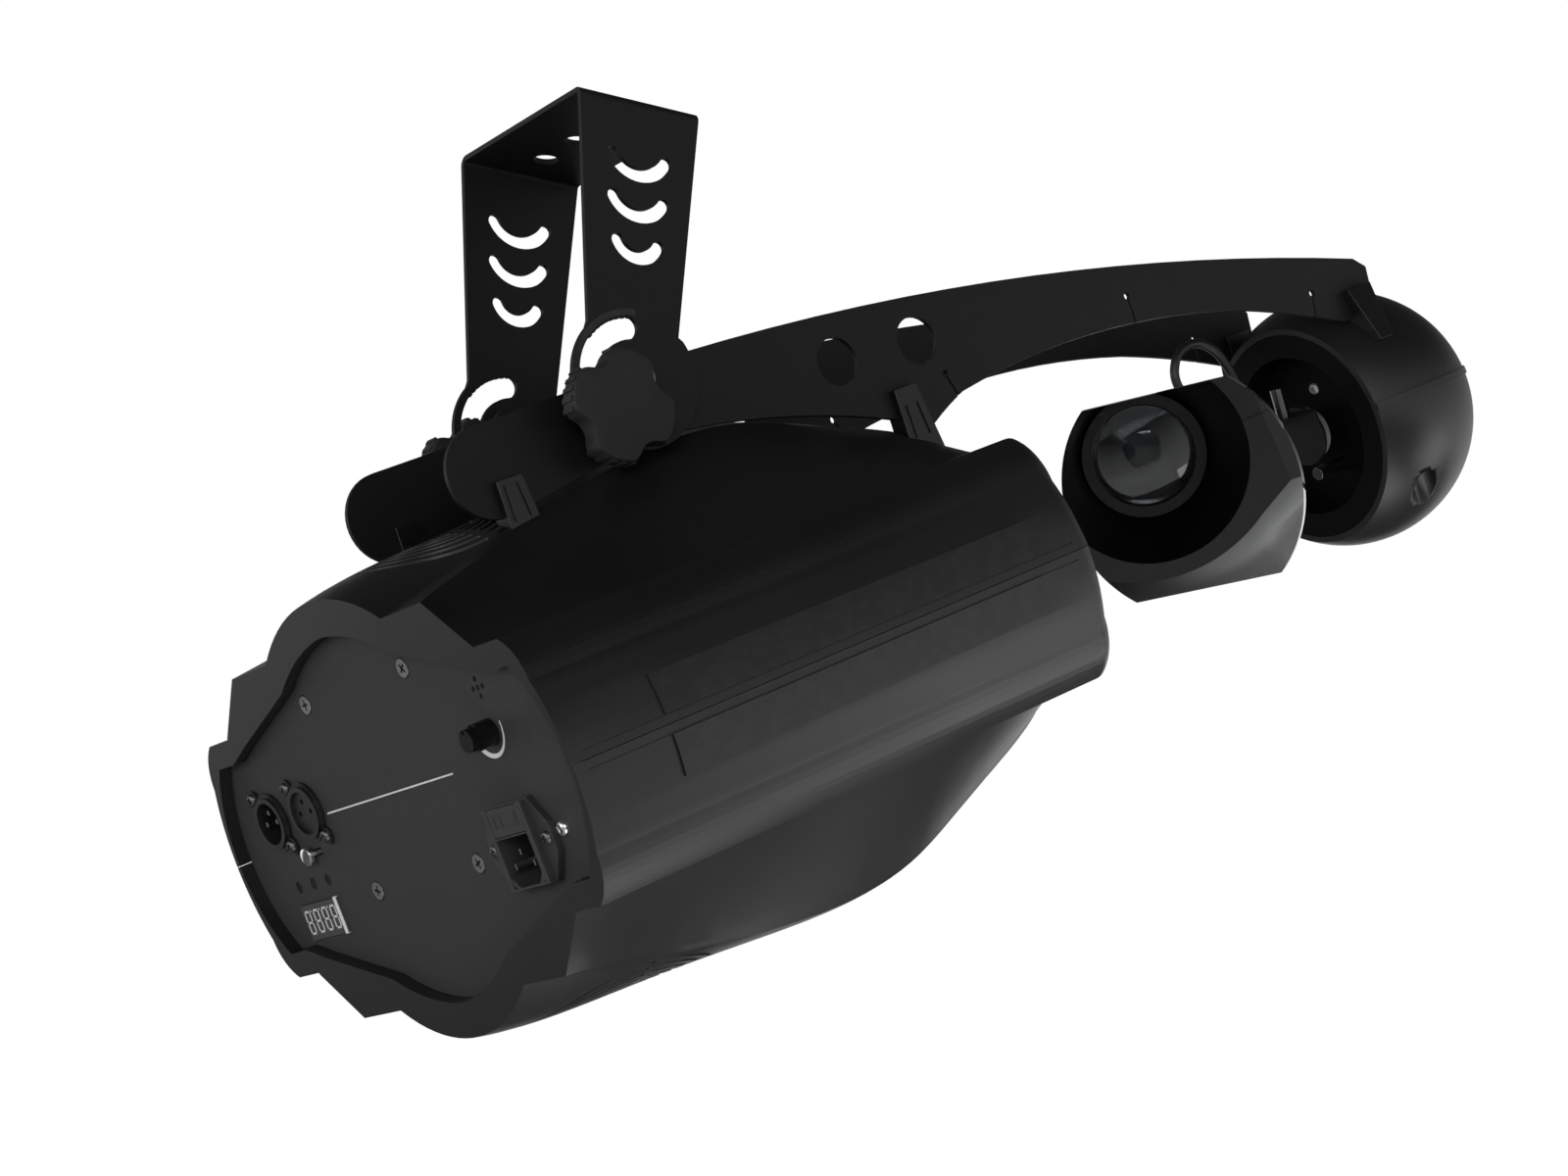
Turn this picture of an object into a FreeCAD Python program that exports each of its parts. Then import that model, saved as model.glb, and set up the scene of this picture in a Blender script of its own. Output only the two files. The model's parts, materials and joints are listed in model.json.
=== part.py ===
import FreeCAD, Part
import math
import os
from types import SimpleNamespace
from FreeCAD import Placement, Rotation, Vector

# LED scanner light, hung from a flat steel U bracket and pitched 26 degrees nose up.
#
# World frame (row frame): origin in the middle of the centre hanging hole, on the top
# face of the bracket; +Z up, +X towards the mirror head, -Y the near side.
# Lamp frame: origin on the tilt pivot, x along the housing, z up through it.
# Beam frame: the lamp frame lowered to the beam axis, which is the housing's mid-plane.

doc = FreeCAD.newDocument("scanner_light")
sheet = doc.addObject("Spreadsheet::Sheet", "Sizes")

SIZES = {
    # shared clearances and stock
    "fit_gap": 0.05,            # radial gap of a shaft in its hole
    "seat_gap": 0.2,            # gap between faces that turn or slide past each other
    "overrun": 2.0,             # how far a cutting tool runs past the face it cuts
    "screw_radius": 1.5,        # M3 hardware
    "screw_head_radius": 2.9,
    "screw_head_height": 1.6,
    "screw_length": 7.0,
    # hanging bracket
    "bracket_width": 105.2,
    "bracket_sheet": 2.5,
    "bracket_bend": 4.0,
    "plate_length": 58.4,
    "pivot_drop": 124.0,
    "disc_radius": 30.4,
    "neck_front": 20.5,
    "neck_rear": 23.5,
    "neck_rise": 21.5,
    "hanging_hole_radius": 5.5,
    "hanging_hole_spacing": 27.9,
    "smile_width": 5.8,
    "clamp_slot_radius": 22.0,
    "clamp_slot_width": 10.0,
    "clamp_slot_first": 102.0,
    "clamp_slot_last": 260.0,
    "lip_width": 2.4,
    "lip_height": 0.8,
    "mark_length": 3.4,
    "mark_width": 0.9,
    # pose of the lamp in the photograph
    "lamp_pitch": 26.0,
    "clamp_angle": 205.0,
    "pan_rest": 7.5,
    "mirror_rest": 24.3,
    # carrying arms
    "arm_face": 45.3,           # outer face of an arm from the mid-plane
    "arm_sheet": 2.5,
    "arm_top": 4.6,
    "arm_rear_centre": 78.5,
    "arm_rear_radius": 20.0,
    "arm_reach": 436.0,
    "arm_drop": 87.1,
    "arm_end_height": 45.3,     # lower corner of an arm above the beam axis
    "arm_hole_radius": 10.8,
    "arm_ear_radius": 14.0,
    "arm_keyhole_radius": 1.7,
    "arm_keyhole_slit": 1.0,
    "clip_thickness": 9.6,
    "clip_top_width": 13.0,
    "clip_foot_width": 19.0,
    # pivot and clamp hardware
    "bolt_radius": 4.0,
    "pivot_head_radius": 8.0,
    "pivot_head_height": 3.0,
    "nut_radius": 7.5,
    "nut_height": 6.5,
    "friction_washer_radius": 13.0,
    "knob_radius": 25.4,
    "knob_thickness": 10.7,
    "knob_notch_radius": 9.0,
    "knob_notch_centre": 28.6,
    "knob_stand_off": 15.5,
    "knob_hub_radius": 10.0,
    "clamp_washer_radius": 12.0,
    "clamp_washer_height": 1.6,
    # housing
    "pivot_height": 26.4,       # pivot above the housing's hump
    "rim_back": 154.1,          # rear rim behind the pivot
    "nose_front": 158.0,
    "lobe_front": 127.0,
    "housing_width": 291.0,
    "lobe_half_height": 53.6,
    "hump_height": 106.0,
    "wall": 2.5,
    "seam_gap": 0.3,
    "lobe_nose_radius": 17.0,
    "panel_depth": 6.0,
    "panel_sheet": 1.5,
    "ledge": 1.6,
    "grille_back": 88.0,        # fan grille centre behind the pivot
    "grille_margin": 6.0,       # grille beyond the fan frame
    "grille_slot": 2.6,
    "grille_pitch": 5.4,
    "grille_hub_radius": 12.0,
    "grille_rib": 4.0,
    "nose_opening_radius": 53.0,
    "strip_height": 0.8,        # raised label strips on the lobes' sides
    "seam_line": 3.5,           # moulded line above the seam
    "line_depth": 0.5,
    # cooling fans
    "fan_depth": 25.0,
    "fan_hub_radius": 17.0,
    "fan_sink": 46.0,           # inner face of a fan frame below the hump
    "fan_axle_radius": 2.0,
    # dome
    "dome_set_back": 7.0,       # dome centre behind the arms' reach
    "dome_radius": 63.5,
    "dome_wall": 2.5,
    "band_proud": 0.9,
    "band_height": 3.5,
    "well_radius": 7.0,
    "well_floor": 24.0,
    "mouth_back": 32.0,
    "mouth_hole_radius": 40.0,
    "mouth_recess": 13.0,
    # pan drive and mirror
    "motor_radius": 17.5,
    "motor_length": 22.0,
    "motor_shaft_radius": 2.5,
    "motor_ear_spacing": 42.0,
    "tilt_motor_radius": 14.0,
    "hub_radius": 13.0,
    "hub_length": 5.0,
    "yoke_sheet": 2.0,
    "yoke_width": 26.0,
    "yoke_level": 11.0,
    "yoke_disc_radius": 15.0,
    "ear_level": 22.5,
    "pillar_length": 15.0,
    "mirror_lead": 108.0,       # tilt axis behind the dome centre
    "tilt_motor_length": 18.0,
    "mirror_offset": 22.0,
    "mirror_glass": 3.0,
    "mirror_half_width": 61.0,
    "mirror_half_height": 48.5,
    "mirror_flat": 38.0,
    "mirror_plate": 1.5,
    "cable_radius": 2.25,
    "stop_pin_radius": 3.3,
    "stop_pin_length": 19.0,
    # rear panel furniture
    "socket_ring_radius": 11.6,
    "socket_bore_radius": 9.4,
    "socket_depth": 20.0,
    "socket_ear": 4.0,
    "socket_screw_across": 9.5,
    "socket_screw_up": 12.0,
    "latch_drop": 6.0,
    "contact_radius": 1.2,
    "inlet_width": 31.0,
    "inlet_height": 34.5,
    "inlet_proud": 6.0,
    "inlet_ear_spacing": 40.0,
    "inlet_flange": 3.0,
    "inlet_depth": 24.0,
    "drawer_travel": 14.0,
    "button_radius": 2.4,
    "button_travel": 0.8,
    "display_width": 34.5,
    "display_height": 16.6,
    "display_depth": 7.0,
    "dial_radius": 5.5,
    "dial_proud": 12.0,
    "microphone_pitch": 3.6,
    "board": 1.6,
    # optics
    "lens_radius": 25.0,
    "barrel_radius": 31.0,
    "barrel_wall": 2.0,
    "barrel_back": 40.0,
    "barrel_front": 122.0,
    "wheel_radius": 44.0,
    "wheel_sheet": 1.5,
    "wheel_spread": 7.0,
    "wheel_centre_drop": 32.0,
    "wheel_window_radius": 8.5,
    "condenser_radius": 20.0,
    "led_back": 62.0,
    "sink_size": 64.0,
    "sink_depth": 42.0,
    "chassis_sheet": 1.5,
    "chassis_half_width": 112.0,
    "chassis_back": 132.0,
    "chassis_front": 106.0,
    "bracket_plate_width": 60.0,
    "supply_length": 120.0,
    "supply_width": 40.0,
    "supply_height": 70.0,
}

for line, (alias, number) in enumerate(SIZES.items(), start=1):
    sheet.set("A%d" % line, alias.replace("_", " "))
    sheet.set("B%d" % line, str(number))
    sheet.setAlias("B%d" % line, alias)
doc.recompute()
S = SimpleNamespace(**{alias: float(sheet.get(alias)) for alias in SIZES})

# Places that follow other sizes: the beam axis hangs below the hump, the arms' ends
# reach down to the dome, and the dome and mirror keep with the arms' reach

AXIS_DROP = S.hump_height + S.pivot_height
END_DROP = AXIS_DROP - S.arm_end_height
DOME_CENTRE = S.arm_reach - S.dome_set_back
TILT_CENTRE = DOME_CENTRE - S.mirror_lead
FAN_LEVEL = S.hump_height - S.fan_sink
FAN_SIZE_SHARE = 0.275
FAN_SIZE = FAN_SIZE_SHARE * S.housing_width
FAN_BORE = FAN_SIZE / 2 - S.wall
GRILLE_RADIUS = FAN_SIZE / 2 + S.grille_margin

# Frames

WORLD = Placement()
LAMP = Placement(Vector(0, 0, -S.pivot_drop), Rotation(Vector(0, 1, 0), -S.lamp_pitch))
BEAM = LAMP.multiply(Placement(Vector(0, 0, -AXIS_DROP), Rotation()))
PAN = BEAM.multiply(Placement(Vector(), Rotation(Vector(1, 0, 0), S.pan_rest)))
MIRROR = PAN.multiply(Placement(Vector(TILT_CENTRE, 0, 0),
                                Rotation(Vector(0, 0, 1), S.mirror_rest)))

TURN = {"x": Rotation(Vector(1, 1, 1), 120), "y": Rotation(Vector(1, 0, 0), 90), "z": Rotation()}
NEAR, FAR = -1, 1
pieces = []


# Shared drawing helpers

def outline(*marks):
    """Closed loop of edges: each mark is a corner, or (way point, corner) for an arc."""
    ends = [mark[1] if isinstance(mark[0], tuple) else mark for mark in marks]
    edges = []
    for index, mark in enumerate(marks):
        start, end = Vector(*ends[index - 1], 0), Vector(*ends[index], 0)
        if isinstance(mark[0], tuple):
            edges.append(Part.Arc(start, Vector(*mark[0], 0), end))
        else:
            edges.append(Part.LineSegment(start, end))
    return edges


def circle(across, up, radius):
    return [Part.Circle(Vector(across, up, 0), Vector(0, 0, 1), radius)]


def rectangle(left, right, low, high):
    return outline((left, low), (right, low), (right, high), (left, high))


def polar(radius, degrees, across=0.0, up=0.0):
    turn = math.radians(degrees)
    return (across + radius * math.cos(turn), up + radius * math.sin(turn))


def curved_slot(radius, width, first, last, across=0.0, up=0.0):
    """Slot with round ends that follows a circle between two angles."""
    inner, outer = radius - width / 2, radius + width / 2
    middle = (first + last) / 2

    def at(reach, degrees):
        return polar(reach, degrees, across, up)

    def cap(degrees, side):
        tip = math.degrees(width / 2 / radius) * side
        return at(radius, degrees + tip)

    return outline((cap(first, -1), at(outer, first)), (at(outer, middle), at(outer, last)),
                   (cap(last, 1), at(inner, last)), (at(inner, middle), at(inner, first)))


def prism(edges, axis, low, high):
    """Solid along a main axis; its loop is drawn in (y, z), (x, z) or (x, y)."""
    if axis == "y":
        low, high = -high, -low
    face = Part.Face(Part.Wire([edge.toShape() for edge in edges]))
    face.translate(Vector(0, 0, low))
    solid = face.extrude(Vector(0, 0, high - low))
    return solid.transformed(Placement(Vector(), TURN[axis]).toMatrix())


def rod(radius, start, end):
    return Part.makeCylinder(radius, (end - start).Length, start, end - start)


def block(x, y, z):
    """Box between two limits on each axis."""
    return Part.makeBox(x[1] - x[0], y[1] - y[0], z[1] - z[0], Vector(x[0], y[0], z[0]))


def keep(item, place):
    """Registers a piece under its own place in the frame."""
    item.Placement = place.multiply(item.Placement)
    pieces.append(item)
    return item


def feature(label, shape, place):
    item = doc.addObject("Part::Feature", label)
    item.Label = label
    item.Shape = shape
    return keep(item, place)


def group(label, solids, place):
    return feature(label, Part.makeCompound(solids), place)


def fuse(first, *others):
    return first.fuse(list(others)).removeSplitter()


# Shared PartDesign helpers

def body(label, place):
    item = doc.addObject("PartDesign::Body", label)
    item.Label = label
    return keep(item, place)


def sketch(owner, plane, edges, offset=0.0):
    """Sketch on one of the body's own planes, moved along the plane's normal."""
    item = owner.newObject("Sketcher::SketchObject", owner.Label + "_sketch")
    role = next(f for f in owner.Origin.OriginFeatures if f.Role == plane + "_Plane")
    item.AttachmentSupport = [(role, "")]
    item.MapMode = "FlatFace"
    item.AttachmentOffset = Placement(Vector(0, 0, offset), Rotation())
    for edge in edges:
        item.addGeometry(edge, False)
    return item


def pad(owner, plane, edges, length, offset=0.0):
    item = owner.newObject("PartDesign::Pad", owner.Label + "_pad")
    item.Profile = sketch(owner, plane, edges, offset)
    item.setExpression("Length", length)
    owner.Tip = item
    return item


def pocket(owner, plane, edges, offset, length=None):
    """Cut that runs along the sketch plane's normal, right through without a length."""
    item = owner.newObject("PartDesign::Pocket", owner.Label + "_pocket")
    item.Profile = sketch(owner, plane, edges, offset)
    item.Reversed = True
    if length is None:
        item.Type = 1
    else:
        item.setExpression("Length", length)
    owner.Tip = item
    return item


def revolve(owner, edges, kind="Revolution"):
    """Turned form about the body's x axis; the loop is drawn as (along, radius)."""
    item = owner.newObject("PartDesign::" + kind, owner.Label + "_" + kind.lower())
    profile = sketch(owner, "XY", edges)
    item.Profile = profile
    item.ReferenceAxis = (profile, ["H_Axis"])
    item.Angle = 360
    owner.Tip = item
    return item


def turned(label, edges, place):
    item = body(label, place)
    revolve(item, edges)
    return item


def stepped(*steps):
    """Loop for a solid turned part: (position, radius) steps along its axis."""
    marks = [(steps[0][0], 0.0)]
    for here, following in zip(steps, steps[1:]):
        marks += [(here[0], here[1]), (following[0], here[1])]
    marks.append((steps[-1][0], 0.0))
    return outline(*marks)


def tube(start, end, inner, outer):
    return outline((start, inner), (start, outer), (end, outer), (end, inner))


# Hanging bracket

LEG_FACE = S.bracket_width / 2
SMILE_SHARES = (
    # drop, half length and sag of each slot, of the pivot drop
    (0.218, 0.105, 0.060),
    (0.368, 0.099, 0.056),
    (0.523, 0.080, 0.050),
)


def leg_outline():
    """Side view of the bracket: tapered legs that run into a disc round the pivot."""
    half = S.plate_length / 2
    neck = S.neck_rise - S.pivot_drop
    reach = S.disc_radius

    def on_disc(side, across):
        turn = math.degrees(math.acos(across / reach))
        return polar(reach, turn if side > 0 else 180 - turn, 0, -S.pivot_drop)

    front, rear = on_disc(1, S.neck_front + S.lip_width), on_disc(-1, S.neck_rear + S.mark_width)
    return outline((-half, S.overrun), (-half, -S.bracket_bend), (-S.neck_rear, neck), rear,
                   (polar(reach, 270, 0, -S.pivot_drop), front), (S.neck_front, neck),
                   (half, -S.bracket_bend), (half, S.overrun))


def smile(drop, half, sag):
    """Curved slot that hangs between two end points."""
    radius = (half ** 2 + sag ** 2) / (2 * sag)
    spread = math.degrees(math.asin(half / radius))
    return curved_slot(radius, S.smile_width, 270 - spread, 270 + spread, 0, radius - sag - drop)


def u_bracket():
    item = body("u_bracket", WORLD)
    depth = S.pivot_drop + S.disc_radius
    inner, bend = LEG_FACE - S.bracket_sheet, S.bracket_bend
    crook = bend - S.bracket_sheet
    corner = math.sqrt(0.5)

    def around(side, radius):
        centre = (side * (LEG_FACE - bend), -bend)
        return (centre[0] + side * radius * corner, centre[1] + radius * corner)

    section = outline(
        (-LEG_FACE, -depth), (-LEG_FACE, -bend), (around(-1, bend), (bend - LEG_FACE, 0)),
        (LEG_FACE - bend, 0), (around(1, bend), (LEG_FACE, -bend)), (LEG_FACE, -depth),
        (inner, -depth), (inner, -bend),
        (around(1, crook), (LEG_FACE - bend, -S.bracket_sheet)),
        (bend - LEG_FACE, -S.bracket_sheet), (around(-1, crook), (-inner, -bend)),
        (-inner, -depth))
    pad(item, "YZ", section, "2 * Sizes.disc_radius", -S.disc_radius)
    waste = S.disc_radius + S.overrun
    outside = rectangle(-waste, waste, -depth - S.overrun, 2 * S.overrun)
    pocket(item, "XZ", outside + leg_outline(), -LEG_FACE - S.overrun)
    holes = [circle(0, side * S.hanging_hole_spacing, S.hanging_hole_radius)[0]
             for side in (-1, 0, 1)]
    pocket(item, "XY", holes, -S.bracket_sheet - S.overrun)
    slots = circle(0, -S.pivot_drop, S.bolt_radius + S.fit_gap)
    slots += curved_slot(S.clamp_slot_radius, S.clamp_slot_width, S.clamp_slot_first,
                         S.clamp_slot_last, 0, -S.pivot_drop)
    for shares in SMILE_SHARES:
        slots += smile(*(share * S.pivot_drop for share in shares))
    pocket(item, "XZ", slots, -LEG_FACE - S.overrun)


u_bracket()


# Carrying arms: two flat steel plates between the bracket's legs

ARM_TOP_SHARES = ((0.069, None), (0.544, -0.181), (0.982, -0.684))
ARM_BELLY_SHARES = (
    # along the reach, below the pivot as a share of the drop
    (0.004, -0.287), (0.172, -0.426), (0.287, -0.613), (0.335, -0.708), (0.356, -0.660),
    (0.385, -0.606), (0.550, -0.559), (0.791, -0.727), (0.858, -0.838), (0.938, -1.000),
)
ARM_END_SHARES = ((0.997, -0.750), (0.989, -0.966))
ARM_FOOT_ANGLE = 281.0
ARM_MIDDLE_SHARE = 0.5
ARM_HOLE_SHARES = ((0.247, -0.246), (0.352, -0.280))
KEYHOLE_SHARES = (
    # keyhole centre, then where its slit leaves the lower edge
    ((0.371, -0.489), (0.381, -0.680)), ((0.643, -0.441), (0.641, -0.660)),
    ((0.903, -0.783), (0.893, -0.960)),
)
ARM_INNER = S.arm_face - S.arm_sheet


def arm_point(shares):
    """Place on an arm: its rear keeps its depth over the housing, its front meets the dome."""
    along, below = shares
    depth = S.arm_drop if along < ARM_MIDDLE_SHARE else END_DROP
    return (along * S.arm_reach, below * depth)


def clamp_point():
    """Where the clamp stud crosses the lamp's side, turned with the lamp."""
    return polar(S.clamp_slot_radius, S.clamp_angle)


def arm_outline():
    centre = (-S.arm_rear_centre, S.arm_top - S.arm_rear_radius)
    round_back = polar(S.arm_rear_radius, 180, *centre)
    foot = polar(S.arm_rear_radius, ARM_FOOT_ANGLE, *centre)
    belly = [arm_point(share) for share in ARM_BELLY_SHARES]
    shoulder = (ARM_TOP_SHARES[0][0] * S.arm_reach, S.arm_top)
    crown, tip = arm_point(ARM_TOP_SHARES[1]), arm_point(ARM_TOP_SHARES[2])
    end_high, end_low = (arm_point(shares) for shares in ARM_END_SHARES)
    return outline(
        (-S.arm_ear_radius, S.arm_top),
        ((0, S.arm_ear_radius), (S.arm_ear_radius, S.arm_top)), shoulder, (crown, tip),
        end_high, end_low, belly[9], (belly[8], belly[7]), (belly[6], belly[5]),
        (belly[4], belly[3]), belly[2], (belly[1], belly[0]), foot,
        (round_back, (-S.arm_rear_centre, S.arm_top)))


def keyhole(centre, mouth):
    """Round eye with a thin slit that leaves through the lower edge."""
    x, z = centre
    lean = (mouth[0] - x, mouth[1] - z)
    reach = math.hypot(*lean)
    along = (lean[0] / reach, lean[1] / reach)
    side = (-along[1] * S.arm_keyhole_slit / 2, along[0] * S.arm_keyhole_slit / 2)
    radius = S.arm_keyhole_radius
    start = math.sqrt(radius ** 2 - (S.arm_keyhole_slit / 2) ** 2)
    end = reach + S.overrun

    def at(distance, hand):
        return (x + along[0] * distance + hand * side[0], z + along[1] * distance + hand * side[1])

    top = (x - along[0] * radius, z - along[1] * radius)
    return outline(at(end, 1), at(end, -1), at(start, -1), (top, at(start, 1)))


def arm(label, side):
    item = body(label, LAMP)
    outer = -side * S.arm_face if side > 0 else S.arm_face - S.arm_sheet
    pad(item, "XZ", arm_outline(), "Sizes.arm_sheet", outer)
    holes = circle(0, 0, S.bolt_radius) + circle(*clamp_point(), S.bolt_radius + S.fit_gap)
    for shares in ARM_HOLE_SHARES:
        holes += circle(*arm_point(shares), S.arm_hole_radius)
    for centre, mouth in KEYHOLE_SHARES:
        holes += keyhole(arm_point(centre), arm_point(mouth))
    pocket(item, "XZ", holes, outer - S.overrun)
    return item


arm("arm_near", NEAR)
arm("arm_far", FAR)


# Pivot and clamp hardware, mirrored on the two sides

def side_rod(radius, across, up, side, start, end):
    """Round bar along Y between two distances from the mid-plane."""
    return rod(radius, Vector(across, side * start, up), Vector(across, side * end, up))


def hexagon(across, up, side, start, end, radius):
    corners = [polar(radius, 60 * corner, across, up) for corner in range(6)]
    return prism(outline(*corners), "y", *sorted((side * start, side * end)))


def pivot_screw(side):
    head = LEG_FACE + S.seat_gap
    return fuse(side_rod(S.pivot_head_radius, 0, 0, side, head, head + S.pivot_head_height),
                side_rod(S.bolt_radius, 0, 0, side, ARM_INNER - S.nut_height, head))


def friction_washer(side):
    disc = side_rod(S.friction_washer_radius, 0, 0, side, S.arm_face,
                    LEG_FACE - S.bracket_sheet - S.seat_gap)
    return disc.cut(side_rod(S.bolt_radius, 0, 0, side, 0, LEG_FACE))


def clamp_washer(side):
    disc = side_rod(S.clamp_washer_radius, STUD_X, STUD_Z, side, WASHER_BACK, WASHER_FRONT)
    return disc.cut(side_rod(S.bolt_radius + S.fit_gap, STUD_X, STUD_Z, side, 0, KNOB_FRONT))


def inner_nut(side, across, up, bore):
    nut = hexagon(across, up, side, ARM_INNER - S.nut_height, ARM_INNER, S.nut_radius)
    return nut.cut(side_rod(bore, across, up, side, 0, LEG_FACE))


STUD_X, STUD_Z = clamp_point()
KNOB_FRONT = LEG_FACE + S.knob_stand_off
KNOB_BACK = KNOB_FRONT - S.knob_thickness
WASHER_BACK = LEG_FACE + S.seat_gap
WASHER_FRONT = WASHER_BACK + S.clamp_washer_height

group("pivot_screws", [pivot_screw(side) for side in (NEAR, FAR)], LAMP)
group("washers", [ring(side) for side in (NEAR, FAR) for ring in (friction_washer, clamp_washer)],
      LAMP)
group("nuts", [inner_nut(side, 0, 0, S.bolt_radius) for side in (NEAR, FAR)] +
      [inner_nut(side, STUD_X, STUD_Z, S.bolt_radius + S.fit_gap) for side in (NEAR, FAR)], LAMP)


def clamp_knob(name, side):
    """Star knob with four broad lobes on a stepped hub, and the stud moulded into it."""
    place = LAMP.multiply(Placement(Vector(STUD_X, side * KNOB_FRONT, STUD_Z),
                                    Rotation(Vector(1, 0, 0), 90 if side > 0 else -90)))
    knob = body("clamp_knob_" + name, place)
    pad(knob, "XY", circle(0, 0, S.knob_radius), "Sizes.knob_thickness")
    notch = knob.newObject("PartDesign::Pocket", "knob_notch")
    notch.Profile = sketch(knob, "XY", circle(S.knob_notch_centre, 0, S.knob_notch_radius),
                           -S.overrun)
    notch.Reversed = True
    notch.Type = 1
    doc.recompute()
    star = knob.newObject("PartDesign::PolarPattern", "knob_star")
    star.Originals = [notch]
    star.Axis = (notch.Profile[0], ["N_Axis"])
    star.Occurrences = 4
    star.Angle = 360
    knob.Tip = star
    doc.recompute()
    pad(knob, "XY", circle(0, 0, S.knob_hub_radius),
        "Sizes.knob_stand_off - Sizes.knob_thickness - 2 * Sizes.seat_gap "
        "- Sizes.clamp_washer_height",
        S.knob_thickness)
    pocket(knob, "XY", circle(0, 0, S.bolt_radius), S.knob_thickness / 2, None)
    stud = side_rod(S.bolt_radius, STUD_X, STUD_Z, side, ARM_INNER - S.nut_height,
                    KNOB_FRONT - S.knob_thickness / 2)
    feature("clamp_stud_" + name, stud, LAMP)


clamp_knob("near", NEAR)
clamp_knob("far", FAR)


# Housing: a domed centre, lofted through cross-sections, between two flat side lobes

HALF_WIDTH = S.housing_width / 2
HUMP_SHARES = (
    # along the housing; crown, crest (out, up), shoulder (out, up), valley (out, up):
    # out as a share of the half width, up as a share of the hump height
    (0.000, 0.887, (0.357, 0.726), (0.584, 0.726), (0.752, 0.511)),
    (0.205, 0.953, (0.337, 0.849), (0.361, 0.830), (0.735, 0.495)),
    (0.430, 1.000, (0.316, 0.962), (0.340, 0.934), (0.722, 0.481)),
    (0.654, 1.000, (0.316, 0.939), (0.340, 0.910), (0.715, 0.472)),
    (0.814, 0.859, (0.316, 0.769), (0.337, 0.747), (0.701, 0.472)),
    (0.910, 0.757, (0.309, 0.662), (0.330, 0.637), (0.660, 0.434)),
    (1.000, 0.580, (0.275, 0.480), (0.296, 0.462), (0.440, 0.360)),
)
LOBE_SHARES = (
    # out as a share of the half width, up as a share of the lobe's half height
    (1.000, 0.000), (0.990, 0.317), (0.955, 0.653), (0.914, 0.925), (0.880, 1.000),
)
HOUSING_LENGTH = S.rim_back + S.nose_front


def hump_section(shares, inset):
    """Upper half of one cross-section, drawn inside the true outline by the inset."""
    along, crown, crest, shoulder, valley = shares
    x = along * HOUSING_LENGTH - S.rim_back

    def at(out, up, side=1):
        return Vector(x, side * (out * HALF_WIDTH - inset), up * S.hump_height - inset)

    sides = {}
    for side in (-1, 1):
        edge, hip, low = at(*crest, side), at(*shoulder, side), at(*valley, side)
        sides[side] = (edge, hip, low, Vector(x, low.y, 0))
    top = Vector(x, 0, crown * S.hump_height - inset)
    right, left = sides[1], sides[-1]
    return Part.Wire([
        Part.Arc(left[0], top, right[0]).toShape(),
        Part.makeLine(right[0], right[1]), Part.makeLine(right[1], right[2]),
        Part.makeLine(right[2], right[3]), Part.makeLine(right[3], left[3]),
        Part.makeLine(left[3], left[2]), Part.makeLine(left[2], left[1]),
        Part.makeLine(left[1], left[0])])


def hump(inset):
    return Part.makeLoft([hump_section(shares, inset) for shares in HUMP_SHARES], True, False)


def lobe_outline(inset):
    """Upper half of the side lobes' cross-section in (y, z)."""
    right = [(out * HALF_WIDTH - inset, up * S.lobe_half_height - (inset if up else 0))
             for out, up in LOBE_SHARES]
    left = [(-out, up) for out, up in right]
    return outline(left[0], (left[1], left[2]), (left[3], left[4]), right[4],
                   (right[3], right[2]), (right[1], right[0]))


def lobes(inset):
    """Side lobes with a straight run and a nose rounded through shrinking sections."""
    front, nose = S.lobe_front - inset, S.lobe_nose_radius - inset
    solid = prism(lobe_outline(inset), "x", -S.rim_back, front - nose)
    sections = []
    for degrees in (0, 30, 60, 90):
        ahead, inward = polar(nose, degrees)[1], nose - polar(nose, degrees)[0]
        wire = Part.Wire([edge.toShape() for edge in lobe_outline(inset + inward)])
        wire.Placement = Placement(Vector(front - nose + ahead, 0, 0), TURN["x"])
        sections.append(wire)
    return fuse(solid, Part.makeLoft(sections, True, False))


def half_housing(inset):
    return fuse(hump(inset), lobes(inset))


RECESS_SHARES = (
    # a quarter of the rear opening's edge: out of the half width, up of the hump height
    (0.000, 0.745), (0.175, 0.698), (0.330, 0.599), (0.674, 0.453), (0.777, 0.402),
    (0.876, 0.404), (0.983, 0.000),
)


def recess_outline():
    """Edge of the rear opening in (y, z): a lobed hexagon with round sides."""
    crown, brow, hip, flank, low, cusp, side = (
        (out * HALF_WIDTH, up * S.hump_height) for out, up in RECESS_SHARES)

    def flip(point, across, up):
        return (across * point[0], up * point[1])

    marks = []
    for across, up in ((1, 1), (1, -1), (-1, -1), (-1, 1)):
        def at(point):
            return flip(point, across, up)
        down = across == up
        walk = [(at(brow), at(hip)), at(flank), at(low), at(cusp)]
        back = [(flip(side, across, up), at(cusp)), at(low), at(flank), at(hip),
                (at(brow), at(crown))]
        marks += walk if down else back
    return outline(*marks)


def recess_prism(grow, start, end):
    wire = Part.Wire([edge.toShape() for edge in recess_outline()])
    if grow:
        wire = wire.makeOffset2D(grow, 2)
    face = Part.Face(wire)
    solid = face.extrude(Vector(0, 0, end - start))
    solid.translate(Vector(0, 0, start))
    return solid.transformed(Placement(Vector(), TURN["x"]).toMatrix())


PANEL_FACE = S.panel_depth - S.rim_back
PANEL_BACK = PANEL_FACE + S.panel_sheet


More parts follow.
